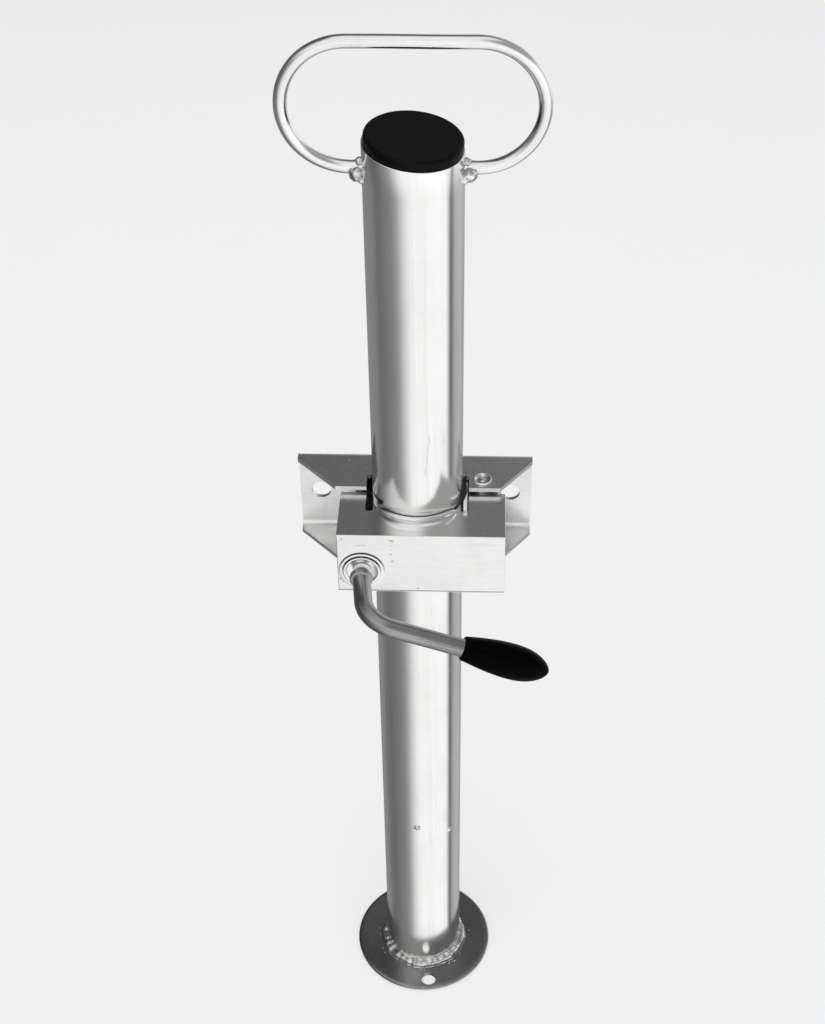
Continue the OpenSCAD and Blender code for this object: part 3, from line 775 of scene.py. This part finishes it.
# %% Carrying bail
def bail():
    low, high = bail_low.z + BAIL_R, bail_high.z - BAIL_R
    bend = (high - low) / 2
    half = bail_high.x - BAIL_R - bend
    mid = low + bend
    path = [(-(TUBE_R - 1.5 * MM), low), (-(TUBE_R + half) / 2, low)]
    path += arc((-half, mid), bend, 270, 90, 44)
    path += [(-half + 2 * half * i / 16, high) for i in range(1, 16)]
    path += arc((half, mid), bend, 90, -90, 44)
    path += [((TUBE_R + half) / 2, low), (TUBE_R - 1.5 * MM, low)]
    wandering = []
    for i, (x, z) in enumerate(path):
        fade = min(1.0, i / 8, (len(path) - 1 - i) / 8)
        drift = Vector((x * 14, 0, z * 14))
        wandering.append(Vector((
            x + 0.35 * MM * fade * noise.noise(drift),
            0.8 * MM * fade * noise.noise(drift + Vector((7, 3, 1))),
            z + 0.35 * MM * fade * noise.noise(drift + Vector((1, 8, 2))),
        )))
    bar = swept(wandering, BAIL_R - 0.02 * MM, 36, 0.03 * MM)
    return add_piece("carry_bail_bar", bar, bar_zinc, "leg", ("carry_handle",))


bail()
print("bail spans", round((bail_high.x - bail_low.x) / MM), "mm")


# %% [markdown]
# The two welds that hold the bail mirror each other. Each is six drops, given by how far out from the
# tube, how far back and how far up from the bar they sit, and their radius.

# %% Bail welds
BAIL_DROPS = [
    (2.4, -4.2, -2.6, 4.4), (1.2, 4.0, -1.0, 4.6), (4.6, -1.6, -4.2, 2.9),
    (0.8, -1.0, 4.0, 2.8), (5.4, -4.6, -0.6, 1.9), (-0.4, -6.2, -5.4, 2.2),
]
bail_z = bail_low.z + BAIL_R
for side, word in ((-1, "left"), (1, "right")):
    x = side * TUBE_R
    blob = [(x + side * out * MM, back * MM, bail_z + up * MM, r * MM) for out, back, up, r in BAIL_DROPS]
    lumps(f"bail_weld_{word}", blob, "leg", replaces=(f"handle_weld_{word}",))
print("bail welds of", len(BAIL_DROPS), "drops each")


# %% [markdown]
# ### Stop pips
# Two plug welds on the tube stop the leg from sliding right up through the bracket. Each is a small
# crater with a raised lip: one wide flat ball with a ring of smaller ones round it.

# %% Stop pips
def stop_pips():
    pips, ring_of, reach = [], 7, 2.2 * MM
    edge = 4.2 * MM
    low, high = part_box("stop_pips")
    for turn, z in ((-5, high.z - edge), (47, low.z + edge)):
        out = Vector((math.sin(math.radians(turn)), -math.cos(math.radians(turn)), 0))
        across = Vector((-out.y, out.x, 0))
        centre = out * (TUBE_R - 0.9 * MM) + Vector((0, 0, z))
        pips.append((*centre, reach))
        for i in range(ring_of):
            a = 2 * math.pi * i / ring_of
            away = across * math.cos(a) + Vector((0, 0, 1)) * math.sin(a)
            size = (1.15 + 0.3 * noise.noise(Vector((i * 1.3, turn, 0)))) * MM
            pips.append((*(centre + away * reach + out * 0.25 * MM), size))
    return lumps("tube_stop_pips", pips, "leg", replaces=("stop_pips",), voxel=0.3, rough=0.2)


stop_pips()


# %% [markdown]
# ## The bracket
# The bracket is one channel of 3 mm sheet with its flanges cut back at an angle. It keeps its engineering
# shape with softened edges, and so do the plain parts fixed to it. Two patches of painted shade are set in
# its finish: black on the edges of the slots, and a soft dark patch on the web behind the housing.

# %% Bracket sheet and the parts on it
CRISP = 0.005


def slot_shade(side):
    """The painted shade on one slot's edge: a box from corner to corner, how dark it is, and how soft its
    border.
    """
    inner, outer = 30.2, 34.2
    front, back, bottom, top = -18.6, 11.0, 420.0, 489.0
    left, right = sorted((side * inner, side * outer))
    return ([left, front, bottom], [right, back, top], 1.0, CRISP)


# painted shade in both slots, where the tube runs through
SLOT_SHADE = [slot_shade(side) for side in (-1, 1)]
web_y = (bracket_high.y - WALL) / MM
# painted shade on the web behind the housing, fading at its ends
behind = ([-51.4, web_y - 1.5, 427.0], [58.0, web_y + 1.5, 488.0], 0.96, 0.32)
bracket_zinc = zinc(
    "bent_channel_zinc", tone=0.80, rough=0.22, draw=SHEET_DRAW, cloud=0.16, marks=0.55, pits=0.6, bumpy=0.22,
    streaky=0.07, grease_and_shade=SLOT_SHADE + [behind],
)
softened("mounting_bracket", "bracket_channel", bracket_zinc, "bracket", roll=0.45, segments=3)
for node, name, finish, slot, roll in (
    ("rear_saddle", "saddle_plate", grease_and_shade_zinc, "zinc_sheet", 0.35),
    ("screw_nut", "weld_nut", grease_and_shade_zinc, "fasteners", 0.5),
    ("hinge_spacer", "hinge_spacer_tube", turned_zinc, "fasteners", 0.3),
    ("hinge_washer", "hinge_plain_washer", turned_zinc, "fasteners", 0.2),
    ("hinge_circlip", "hinge_snap_ring", spring_steel, "spring_steel", 0.12),
):
    softened(node, name, finish, "bracket", roll=roll)
print("bracket parts softened")


# %% [markdown]
# ### Hinge pin
# The pin is upset at its top into a hollow head, like the end of a tubular rivet, and has a groove for a
# snap ring near its lower end. It is spun from one section.

# %% Hinge pin
def hinge_pin():
    low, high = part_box("hinge_pin")
    flange = bracket_high.z
    r, head = 5 * MM, 6.4 * MM
    dimple = 3.6 * MM
    section = [(0.05 * MM, low.z), (r - 0.8 * MM, low.z), (r, low.z + 0.8 * MM), (r, bracket_low.z - 3 * MM)]
    section += [(r - 0.6 * MM, bracket_low.z - 3 * MM), (r - 0.6 * MM, bracket_low.z - 1.8 * MM)]
    section += [(r, bracket_low.z - 1.8 * MM), (r, flange + 0.05 * MM), (head - 0.3 * MM, flange + 0.05 * MM)]
    section += [(head, flange + 0.35 * MM), (head - 0.05 * MM, flange + 0.8 * MM)]
    section += arc((head - 0.85 * MM, high.z - 0.75 * MM), 0.73 * MM, 10, 140, 8)
    section += [(dimple + 0.3 * MM, flange + 0.7 * MM), (dimple - 0.2 * MM, flange + 0.15 * MM)]
    section += [(2.6 * MM, flange + 0.1 * MM), (1.9 * MM, flange + 0.5 * MM), (0.05 * MM, flange + 0.75 * MM)]
    place = Matrix.Translation((pin.x, pin.y, 0))
    shape = spun(section, 64, place=place)
    return add_piece("hinge_pin_upset", shape, turned_zinc, "bracket", ("hinge_pin",))


hinge_pin()
print("hinge pin at", [round(c / MM, 1) for c in pin])


# %% [markdown]
# Two upright fillet beads hold the saddle to the web. They sit inside the channel, but they show from the
# side.

# %% Saddle welds
def bead_line(name, start, end, radius, body, replaces=(), step=2.4):
    start, end = Vector(start), Vector(end)
    count = max(3, int((end - start).length / (step * MM)))
    balls = []
    for i in range(count + 1):
        shake = [noise.noise(Vector((i * 0.9, k * 5.0, start.x * 50))) for k in range(3)]
        wobble = Vector(shake) * 0.35 * MM
        spot = start.lerp(end, i / count) + wobble
        size = radius * (1.0 + 0.16 * noise.noise(Vector((i * 1.7, 3.0, end.x * 40))))
        balls.append((*spot, size))
    return lumps(name, balls, body, replaces=replaces, voxel=0.5, rough=0.2)


BEAD_R, ASIDE, SHORT = 2 * MM, 13.5 * MM, 4 * MM
saddle_low, saddle_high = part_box("rear_saddle")
for side, word in ((-1, "left"), (1, "right")):
    # 1.6 mm in front of the web's inner face
    x, y = side * ASIDE, bracket_high.y - 4.6 * MM
    start, end = (x, y, saddle_low.z + SHORT), (x, y, saddle_high.z - SHORT)
    replaces = ("saddle_welds",) if side < 0 else ()
    bead_line(f"saddle_weld_{word}", start, end, BEAD_R, "bracket", replaces)
print("saddle welds done")


# %% [markdown]
# ## The clamp
# ### Housing
# The housing is a pressed box, open at the back, that hinges on the bracket. Like the bracket it keeps
# its engineering shape. Its face has seen some handling: a short dash from a gauge, a few drops that
# dried before the zinc was passivated, and some nicks near the boss, each a ragged oval set at its place
# in the finish. Grease and painted shade fill its inside, painted shade blackens the slots, and thin dark
# lines run along its top, bottom and left edges.

# %% Housing, jaw and hinge sleeve
FACE = FACE_Y / MM
SCREW_SPOT = (SCREW_X / MM, FACE, SCREW_Z / MM)
face_marks = [
    ((x, FACE, z), (wide, 3.0, tall), depth) for x, z, wide, tall, depth in (
        (-35.7, 474.2, 5.0, 0.7, 0.45), (-16.8, 478.8, 1.2, 0.7, 0.7), (-15.4, 478.2, 1.5, 1.2, 0.9),
        (-16.0, 474.1, 0.7, 0.6, 0.6), (-16.0, 470.7, 0.6, 0.5, 0.5), (-16.2, 466.8, 0.8, 0.8, 0.7),
        (-15.5, 460.9, 1.4, 0.9, 0.8), (-47.9, 479.3, 1.0, 1.0, 0.7), (1.4, 437.6, 1.1, 1.0, 0.8),
        (45.6, 476.1, 13.0, 0.4, 0.25), (-49.6, 445.6, 1.2, 1.6, 0.7), (-47.4, 442.8, 1.6, 1.1, 0.7),
        (-44.2, 440.4, 1.8, 0.8, 0.5), (30.0, 452.0, 0.6, 0.5, 0.3), (12.0, 466.0, 0.5, 0.5, 0.3),
    )
]
left, right, base, top = (v / MM for v in (housing_low.x, housing_high.x, housing_low.z, housing_high.z))
# the grease and painted shade inside begin just within the sheet's 3 mm
IN = 2.8
# grease and painted shade inside the open box
inside = ([left + IN, FACE + IN, base + IN], [right - IN, 30.0, top - IN], 1.0, CRISP)
# thin dark lines along the face's top, bottom and left edges
dark_edge_lines = [
    ([left - 0.1, FACE + 0.05, top - 2.1], [right + 0.1, FACE + 2.1, top - 0.05], 0.9, CRISP),
    ([left - 0.1, FACE - 0.1, base + 0.5], [right + 0.1, FACE + 1.6, base + 1.4], 0.6, CRISP),
    ([left - 0.1, FACE - 0.1, base + 0.5], [left + 0.45, FACE + 1.6, top - 0.5], 0.6, CRISP),
]
housing_zinc = zinc(
    "pressed_housing_zinc", tone=0.84, rough=0.20, draw=SHEET_DRAW, marks=0.4, pits=0.5, bumpy=0.16,
    streaky=0.05, stains_and_reflections=face_marks, grease_and_shade=[inside] + SLOT_SHADE + dark_edge_lines,
)
softened("clamp_housing", "clamp_housing_box", housing_zinc, "housing", roll=0.5, segments=3)
softened("front_jaw", "front_jaw_plate", grease_and_shade_zinc, "housing")
softened("jaw_ribs", "jaw_rib_pair", grease_and_shade_zinc, "housing")
softened("hinge_web", "hinge_web_plate", chalky_zinc, "housing", roll=0.6, segments=3)
softened("hinge_tube", "hinge_sleeve", turned_zinc, "housing", roll=0.3)
print("housing is", [round(v / MM, 1) for v in housing_high - housing_low], "mm")


# %% [markdown]
# ### Guide collars
# The rim of the tube's hole is drawn up into a thin lip that guides the tube, with a soft shoulder
# running down to the flat. The section has that lip, a shallow groove and a full belly. It is spun only
# between the two slots, and a slow noise lifts and drops it a little, because drawn metal is never quite
# even. Towards its two ends the belly thins and sinks into the flat, as metal does where there was less
# of it to draw.

# %% Guide collars
def collar(node, name, outwards):
    """One collar; outwards is 1 for the top of the housing and -1 for its bottom."""
    low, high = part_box(node)
    root = housing_high.z if outwards > 0 else housing_low.z
    inner = TUBE_R + 0.6 * MM
    outer = -low.y
    rise = high.z - low.z
    lip = 0.9 * MM
    section = [(inner, -0.3 * MM), (inner, rise - lip)]
    section += arc((inner + lip, rise - lip), lip, 180, 20, 8)
    groove = inner + 2.7 * MM
    belly, steps, spread = groove + 0.3 * MM, 12, 108
    section += [(groove - 0.55 * MM, rise * 0.72), (groove - 0.15 * MM, rise * 0.66), (belly, rise * 0.68)]
    for i in range(1, steps + 1):
        share = i / steps
        fullness = 0.70 + 0.10 * math.sin(math.pi * share * 0.7)
        section.append((belly + (outer - belly) * share, rise * fullness * (1 - share ** 2.4)))
    section.append((outer, -0.3 * MM))
    points, faces, uv = spun(section, 72, turn=spread, start=-90 - spread / 2)
    for p in points:
        lift = noise.noise(Vector((p.x * 40, p.y * 40, 4.0)))
        end = abs(math.atan2(p.x, -p.y)) / math.radians(spread / 2)
        reach = math.hypot(p.x, p.y)
        if reach > groove:
            thin = (groove + (reach - groove) * max(0.04, 1 - end ** 2.6)) / reach
            p.x, p.y = p.x * thin, p.y * thin
        if p.z > 0:
            p.z *= 1 - 0.75 * end ** 5 if reach < groove + 0.4 * MM else 1 - 0.9 * end ** 2.4
        p.z = root + outwards * (p.z + 0.16 * MM * lift * min(1.0, max(0.0, p.z / MM)))
    return add_piece(name, (points, faces, uv), turned_zinc, "housing", (node,))


collar("guide_collar", "guide_collar_upper", 1)
collar("lower_guide_collar", "guide_collar_lower", -1)
print("collars drawn")


# %% [markdown]
# ### Screw boss
# The screw turns in a shallow boss of two steps pressed in the housing's face. Each step has a small
# rolled edge with a thin line of painted shade on its upper arc, and a turned sleeve keeps the lever clear
# of them. Everything on the screw is spun on the same axis, so one matrix sets them all: it turns Z
# forwards and moves it to the screw.

# %% Boss, sleeve and shoulder
ON_SCREW = Matrix.Translation((SCREW_X, FACE_Y, SCREW_Z)) @ Matrix.Rotation(math.radians(90), 4, "X")


def on_screw(name, section, finish, body, node, steps=96, sharp=40):
    """Spins a section [(radius, height before the face)], in millimetres, on the screw's axis."""
    shape = spun([(r * MM, h * MM) for r, h in section], steps, place=ON_SCREW)
    return add_piece(name, shape, finish, body, (node,), sharp=sharp)


boss_section = [(5.4, -3.1), (12.1, -3.1), (12.4, -2.8), (12.4, 0.02), (14.9, 0.02)]
boss_section += arc((14.85, 0.35), 0.33, -60, 90, 6)
boss_section += [(13.0, 0.62), (12.62, 0.66), (12.4, 0.9)]
boss_section += arc((12.05, 1.05), 0.33, 0, 90, 5)
boss_section += [(11.6, 1.30), (11.2, 1.34)]
boss_section += arc((10.75, 1.0), 0.34, 90, 180, 5)
boss_section += [(10.4, 0.1), (10.3, -0.5), (9.9, -0.78), (6.4, -0.8), (5.4, -1.0)]
boss_zinc = zinc(
    "pressed_boss_zinc", tone=0.84, rough=0.16, draw=(60.0, 1800.0, 1800.0), use_map=True, cloud=0.08,
    marks=0.3, bumpy=0.15, streaky=0.06,
    # painted shade on the upper arcs of the boss's three steps
    rings=[(SCREW_SPOT, 14.95, 0.9), (SCREW_SPOT, 12.55, 1.3), (SCREW_SPOT, 10.3, 1.3)],
)
on_screw("screw_cup_drawn", boss_section, boss_zinc, "housing", "screw_cup", sharp=50)
softened("screw_washer", "screw_plain_washer", grease_and_shade_zinc, "housing", roll=0.2)
sleeve_section = [(5.05, -0.45), (5.9, -0.45), (6.1, -0.25), (6.1, 5.95), (5.05, 5.95)]
on_screw("thrust_sleeve_turned", sleeve_section, turned_zinc, "lever", "thrust_sleeve")
shoulder_section = [(5.2, 0.05), (7.2, 0.05), (7.5, 0.35), (7.5, 2.9)]
shoulder_section += arc((6.6, 3.05), 0.9, 0, 90, 6) + [(5.2, 3.95)]
shoulder_section = [(r, h + NECK_OUT / MM) for r, h in shoulder_section]
shoulder = on_screw("lever_shoulder_ring", shoulder_section, lever_zinc, "lever", "lever_shoulder")
softened("screw_circlip", "screw_snap_ring", spring_steel, "lever", roll=0.12)
print("boss, sleeve and shoulder on the screw's axis")


# %% [markdown]
# ### Clamp screw
# The thread is real: the radius of each point on the bar depends on its height and on its angle, so the
# ridge climbs one pitch for each turn, as it does on the screw itself. The neck has the groove for the
# snap ring.

# %% Clamp screw
def clamp_screw():
    low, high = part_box("clamp_screw")
    length = high.y - FACE_Y
    r, pitch, depth, thread = 5 * MM, 1.5 * MM, 0.9 * MM, 38 * MM
    sides, per_turn = 48, 10
    groove, ledge = 5.3 * MM, 0.6 * MM
    rings = []
    for i in range(int(thread / pitch * per_turn) + 1):
        rings.append((-length + i * pitch / per_turn, None))
    rings += [(-length + thread + 0.4 * MM, r), (-groove - 1.2 * MM, r), (-groove - 1.2 * MM, r - ledge)]
    rings += [(-groove, r - ledge), (-groove, r), (NECK_OUT - 0.02 * MM, r)]
    points, faces, uv = [], [], []
    for h, fixed in rings:
        for k in range(sides):
            angle = 2 * math.pi * k / sides
            radius = fixed
            if fixed is None:
                phase = ((h + length) / pitch - k / sides) % 1.0
                cut = min(1.0, max(0.0, 1.25 * abs(2 * phase - 1) - 0.1))
                fade = min(1.0, (thread - (h + length)) / (1.2 * pitch))
                chamfer = max(0.0, 1.2 * MM - (h + length)) * 0.8
                radius = min(r - 0.05 * MM - depth * cut * max(0.0, fade), r - chamfer)
            spot = Vector((radius * math.cos(angle), radius * math.sin(angle), h))
            points.append(ON_SCREW @ spot)
    for i in range(len(rings) - 1):
        for k in range(sides):
            m = (k + 1) % sides
            faces.append((i * sides + k, i * sides + m, (i + 1) * sides + m, (i + 1) * sides + k))
            u0, u1 = (r * 2 * math.pi * s / sides for s in (k, k + 1))
            v0, v1 = rings[i][0], rings[i + 1][0]
            uv.append([(u0, v0), (u1, v0), (u1, v1), (u0, v1)])
    for start in (0, (len(rings) - 1) * sides):
        faces.append(tuple(range(start, start + sides)))
        uv.append([(0.0, 0.0)] * sides)
    shape, stands_for = (points, faces, uv), ("clamp_screw",)
    return add_piece("clamp_screw_threaded", shape, grease_and_shade_zinc, "lever", stands_for, sharp=60)


thread_piece = clamp_screw()
print("screw has", len(thread_piece.data.polygons), "faces")


# %% [markdown]
# ### Lever
# The lever is one bar, bent once. It leaves the screw with a slight lean, turns through 83 degrees, and
# its arm hangs down to the right. The path is drawn flat and the same matrix as before, with the hang
# added, puts it in place. The bar flattens and swells a little in the bend, so the sweep's radius grows
# there by a tenth of a millimetre.

# %% Lever bar
LEAN, HANG = math.radians(7), math.radians(19.5)
BEND, LEVER_R, GRIP = 20 * MM, 6 * MM, 60 * MM
REACH = FACE_Y - NECK_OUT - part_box("lever_bar")[0].y - LEVER_R - 0.04 * MM
ON_LEVER = ON_SCREW @ Matrix.Translation((0, 0, NECK_OUT)) @ Matrix.Rotation(-HANG, 4, "Z")
along = (ON_LEVER.to_3x3() @ Vector((1, 0, 0))).normalized()
foot_of_arm = Vector((SCREW_X, FACE_Y, SCREW_Z))
LEVER_END = max((v.co - foot_of_arm).dot(along) for v in frame["nodes"]["lever_grip"].data.vertices)


def lever_bar():
    stem = (REACH - BEND * (1 - math.sin(LEAN))) / math.cos(LEAN)
    centre = (stem * math.sin(LEAN) + BEND * math.cos(LEAN), REACH - BEND)
    path = [(stem * math.sin(LEAN) * s / 12, stem * math.cos(LEAN) * s / 12) for s in range(12)]
    path += arc(centre, BEND, 180 - math.degrees(LEAN), 90, 28)
    end = LEVER_END - 16 * MM
    path += [(centre[0] + (end - centre[0]) * s / 16, REACH) for s in range(1, 17)]
    spots = []
    for x, z in path:
        stray = 0.12 * MM * noise.noise(Vector((x * 60, z * 60, 2.0)))
        spots.append(ON_LEVER @ Vector((x, stray, z)))
    bend_length = BEND * (math.pi / 2 - LEAN)

    def radius(run):
        share = min(1.0, max(0.0, (run - stem) / bend_length))
        return LEVER_R - 0.03 * MM + 0.10 * MM * max(0.0, math.sin(math.pi * share))

    bar = swept(spots, radius, 48, 0.03 * MM)
    return add_piece("lever_bar_bent", bar, lever_zinc, "lever", ("lever_bar",))


lever = lever_bar()
print("arm stands", round((REACH + NECK_OUT) / MM), "mm off the face, end at", round(LEVER_END / MM), "mm")


# %% [markdown]
# ### Grip
# The grip is a moulded drop, pushed on the bar. It has a blunt, rounded mouth, it is fullest a little
# past its middle, and it closes to a small round tip. The halves of the mould leave a fine raised line
# along both sides.

# %% Grip
def grip():
    widest, neck = 11.75 * MM, 7.85 * MM
    belly, steps, sides = 0.56, 60, 120
    section = [(5.6 * MM, 0.6 * MM), (5.9 * MM, 0.1 * MM)]
    section += arc((6.6 * MM, 1.5 * MM), 1.42 * MM, -80, -10, 6)
    for share in [i / steps for i in range(2, steps)] + [0.990, 0.995, 0.9982, 0.9996]:
        if share < belly:
            r = neck + (widest - neck) * math.sin(math.pi / 2 * share / belly) ** 1.05
        else:
            r = widest * (1 - ((share - belly) / (1 - belly)) ** 2.2) ** 0.6
        section.append((r, GRIP * share))
    section += [(0.02 * MM, GRIP * 0.9999), (0.02 * MM, 40 * MM)]
    points, faces, uv = spun(section, sides)
    for k, p in enumerate(points):
        turn = k // len(section)
        if turn % (sides // 2) == 0 and p.z > 1.5 * MM:
            across = Vector((p.x, p.y, 0))
            p += across.normalized() * 0.07 * MM if across.length > 2 * MM else Vector()
    place = ON_LEVER @ Matrix.Translation((LEVER_END - GRIP, 0, REACH))
    place = place @ Matrix.Rotation(math.radians(90), 4, "Y")
    shape, stands_for = ([place @ p for p in points], faces, uv), ("lever_grip",)
    return add_piece("lever_grip_moulded", shape, grip_plastic, "lever", stands_for, sharp=55)


grip_piece = grip()
print("grip is", round(GRIP / MM), "mm long")


# %% [markdown]
# A real pressed face is too uneven to show the lever in it. The face here is nearly flat, so it would
# mirror the lever as sharply as glass. Hiding the lever, its grip and its shoulder from mirror rays keeps
# that image out.

# %% Keep the lever out of the mirror images
for piece in (lever, grip_piece, shoulder):
    piece.visible_glossy = False
print("lever left out of mirror images")


# %% [markdown]
# ## Studio
# ### Floor and backdrop
# Bare metal shows nothing but its surroundings, so the surroundings are built first and the lamps only
# fill in. The floor and the backdrop are plain and pale. Neither shows in the metal: what the metal
# mirrors is set by the world.

# %% Floor and backdrop
def pale(name, tone, glow):
    f = Finish(name)
    speckle = f.grain((9.0, 9.0, 9.0), detail=2.0)
    f.feed(f.shader, "Base Color", f.mix(f.span(speckle, 0.3, 0.7), (tone, tone, tone), (tone * 0.99,) * 3))
    f.shader.inputs["Roughness"].default_value = 0.9
    f.shader.inputs["Specular IOR Level"].default_value = 0.1
    f.shader.inputs["Emission Color"].default_value = (1.0, 1.0, 1.0, 1.0)
    f.shader.inputs["Emission Strength"].default_value = glow
    return f.material


def staged(name, shape, finish):
    """A piece of the studio, which the metal doesn't mirror."""
    mesh = bpy.data.meshes.new(name)
    shape.to_mesh(mesh)
    shape.free()
    mesh.shade_smooth()
    piece = bpy.data.objects.new(name, mesh)
    bpy.context.scene.collection.objects.link(piece)
    piece.data.materials.append(finish)
    piece.visible_glossy = False
    return piece


ROOM = 7.0
SINK = 0.6 * MM
shape = bmesh.new()
bmesh.ops.create_circle(shape, cap_ends=True, segments=96, radius=ROOM)
bmesh.ops.translate(shape, verts=shape.verts, vec=(0, 0, -SINK))
staged("studio_floor", shape, pale("pale_floor", tone=0.35, glow=0.55))
shape = bmesh.new()
bmesh.ops.create_uvsphere(shape, u_segments=96, v_segments=48, radius=ROOM)
backdrop = staged("studio_backdrop", shape, pale("pale_backdrop", tone=0.0, glow=0.87))
backdrop.visible_diffuse = False
backdrop.visible_shadow = False
print("room is", 2 * ROOM, "m across")


# %% [markdown]
# ### What the metal mirrors
# The world is three rings of tones by compass direction, blended by height, with a pale patch right
# overhead. The low ring is bright in front and to the right, with a thin dark gap at the far right and a
# mid grey beyond, and dark grey all along the left. The level ring is white in front and on the right,
# for faces that are nearly upright. The high ring is bright in front and on the left and dark behind, for
# the tops of the sheet parts. A round tube picks up the low ring as upright stripes: dark left, white
# middle, a fine dark line, then grey.

# %% World
def tone_ring(tree, angle, stops):
    """A colour ramp over the compass angle in degrees, 0 in front and positive to the right."""
    ramp = tree.nodes.new("ShaderNodeValToRGB")
    tree.links.new(angle, ramp.inputs[0])
    marks = ramp.color_ramp.elements
    for i, (degrees, tone) in enumerate(stops):
        place = (degrees + 180) / 360
        mark = marks[i] if i < 2 else marks.new(place)
        mark.position = place
        mark.color = (tone, tone, tone, 1.0)
    return ramp.outputs["Color"]


def studio_world():
    world = bpy.data.worlds.new("studio_world")
    world.use_nodes = True
    bpy.context.scene.world = world
    tree = world.node_tree

    def maths(operation, a, b):
        made = tree.nodes.new("ShaderNodeMath")
        made.operation = operation
        for socket, value in zip(made.inputs, (a, b)):
            if isinstance(value, float):
                socket.default_value = value
            else:
                tree.links.new(value, socket)
        return made.outputs[0]

    split = tree.nodes.new("ShaderNodeSeparateXYZ")
    tree.links.new(tree.nodes.new("ShaderNodeTexCoord").outputs["Generated"], split.inputs[0])
    x, y, z = split.outputs
    compass = maths("ARCTAN2", x, maths("MULTIPLY", y, -1.0))
    compass = maths("ADD", maths("DIVIDE", compass, 2 * math.pi), 0.5)
    rings = [tone_ring(tree, compass, ring) for ring in (LOW_RING, LEVEL_RING, HIGH_RING)]

    def climb(start, end, under, over):
        """The tone under a height, blended into the tone over it between two heights of the sky."""
        rise = tree.nodes.new("ShaderNodeMapRange")
        rise.interpolation_type = "SMOOTHSTEP"
        tree.links.new(z, rise.inputs["Value"])
        rise.inputs["From Min"].default_value = start
        rise.inputs["From Max"].default_value = end
        blend = tree.nodes.new("ShaderNodeMix")
        blend.data_type = "RGBA"
        tree.links.new(rise.outputs[0], blend.inputs[0])
        tree.links.new(under, blend.inputs[6])
        if isinstance(over, float):
            blend.inputs[7].default_value = (over, over, over, 1.0)
        else:
            tree.links.new(over, blend.inputs[7])
        return blend.outputs[2]

    sky = climb(-0.55, -0.15, rings[0], rings[1])
    sky = climb(0.15, 0.55, sky, rings[2])
    sky = climb(0.86, 0.97, sky, OVERHEAD)
    tree.links.new(sky, tree.nodes["Background"].inputs["Color"])
    tree.nodes["Background"].inputs["Strength"].default_value = WORLD_LIGHT


# degrees from straight ahead, positive to the right, and the tone there
LOW_RING = [
    (-180, 0.40), (-168, 0.22), (-110, 0.20), (-90, 0.13), (-70, 0.16), (-50, 0.20), (-36, 0.31), (-24, 0.56),
    (-10, 0.80), (4, 0.88), (30, 0.85), (34, 0.90), (80, 0.89), (87, 0.52), (92, 0.08), (98, 0.10), (106, 0.36),
    (135, 0.42), (152, 0.30), (180, 0.40),
]
LEVEL_RING = [
    (-180, 0.30), (-150, 0.10), (-100, 0.10), (-80, 0.12), (-50, 0.30), (-25, 0.85), (60, 1.1), (86, 0.8),
    (93, 0.15), (100, 0.85), (165, 0.85), (180, 0.30),
]
HIGH_RING = [
    (-180, 0.11), (-168, 0.08), (-120, 0.07), (-90, 0.25), (-60, 0.75), (-30, 0.8), (0, 0.85), (15, 0.5),
    (30, 0.3), (70, 0.3), (95, 0.35), (125, 0.30), (160, 0.24), (180, 0.11),
]
OVERHEAD = 0.80
WORLD_LIGHT = 1.25
studio_world()
print("world has", len(LOW_RING), "tones below,", len(LEVEL_RING), "level and", len(HIGH_RING), "above")


# %% [markdown]
# ### Lamps
# Two large soft lamps fill the floor and the plastics. They don't show in the metal either.

# %% Lamps
def soft_lamp(name, place, size, power):
    lamp = bpy.data.lights.new(name, "AREA")
    lamp.shape = "SQUARE"
    lamp.size = size
    lamp.energy = power
    piece = bpy.data.objects.new(name, lamp)
    bpy.context.scene.collection.objects.link(piece)
    piece.location = place
    piece.rotation_euler = (AIM - Vector(place)).to_track_quat("-Z", "Y").to_euler()
    piece.visible_glossy = False
    return piece


AIM = Vector((0, 0, 0.35))
soft_lamp("overhead_lamp", (-0.3, -0.4, 3.2), size=3.6, power=55)
soft_lamp("front_lamp", (1.2, -2.4, 1.8), size=2.2, power=12)
print("lamps hung")


# %% [markdown]
# ### Camera
# The camera stands in front, higher than the stand's own top, and looks down by 39 degrees, a step to the
# side of square on. It is rolled by about a degree, as a hand-held camera is.

# %% Camera
camera_data = bpy.data.cameras.new("studio_camera")
camera_data.lens = 58.37
camera_data.sensor_width = 36
camera_data.clip_end = 50
camera = bpy.data.objects.new("studio_camera", camera_data)
bpy.context.scene.collection.objects.link(camera)
DISTANCE, HEIGHT = 0.8678, 1.1748
aside, pan, dip, roll = (math.radians(angle) for angle in (2.602, 2.847, 39.237, -0.937))
turned = Matrix.Rotation(pan, 4, "Z") @ Matrix.Rotation(math.radians(90) - dip, 4, "X")
turned = turned @ Matrix.Rotation(roll, 4, "Z")
stands = Matrix.Translation((DISTANCE * math.sin(aside), -DISTANCE * math.cos(aside), HEIGHT))
camera.matrix_world = stands @ turned
bpy.context.scene.camera = camera
bpy.context.scene.view_settings.view_transform = "Standard"
print("camera at", [round(c, 3) for c in camera.location])


# %% Measure and finish
print("engineering", [round(v / MM, 1) for v in cad_high - cad_low], "mm")
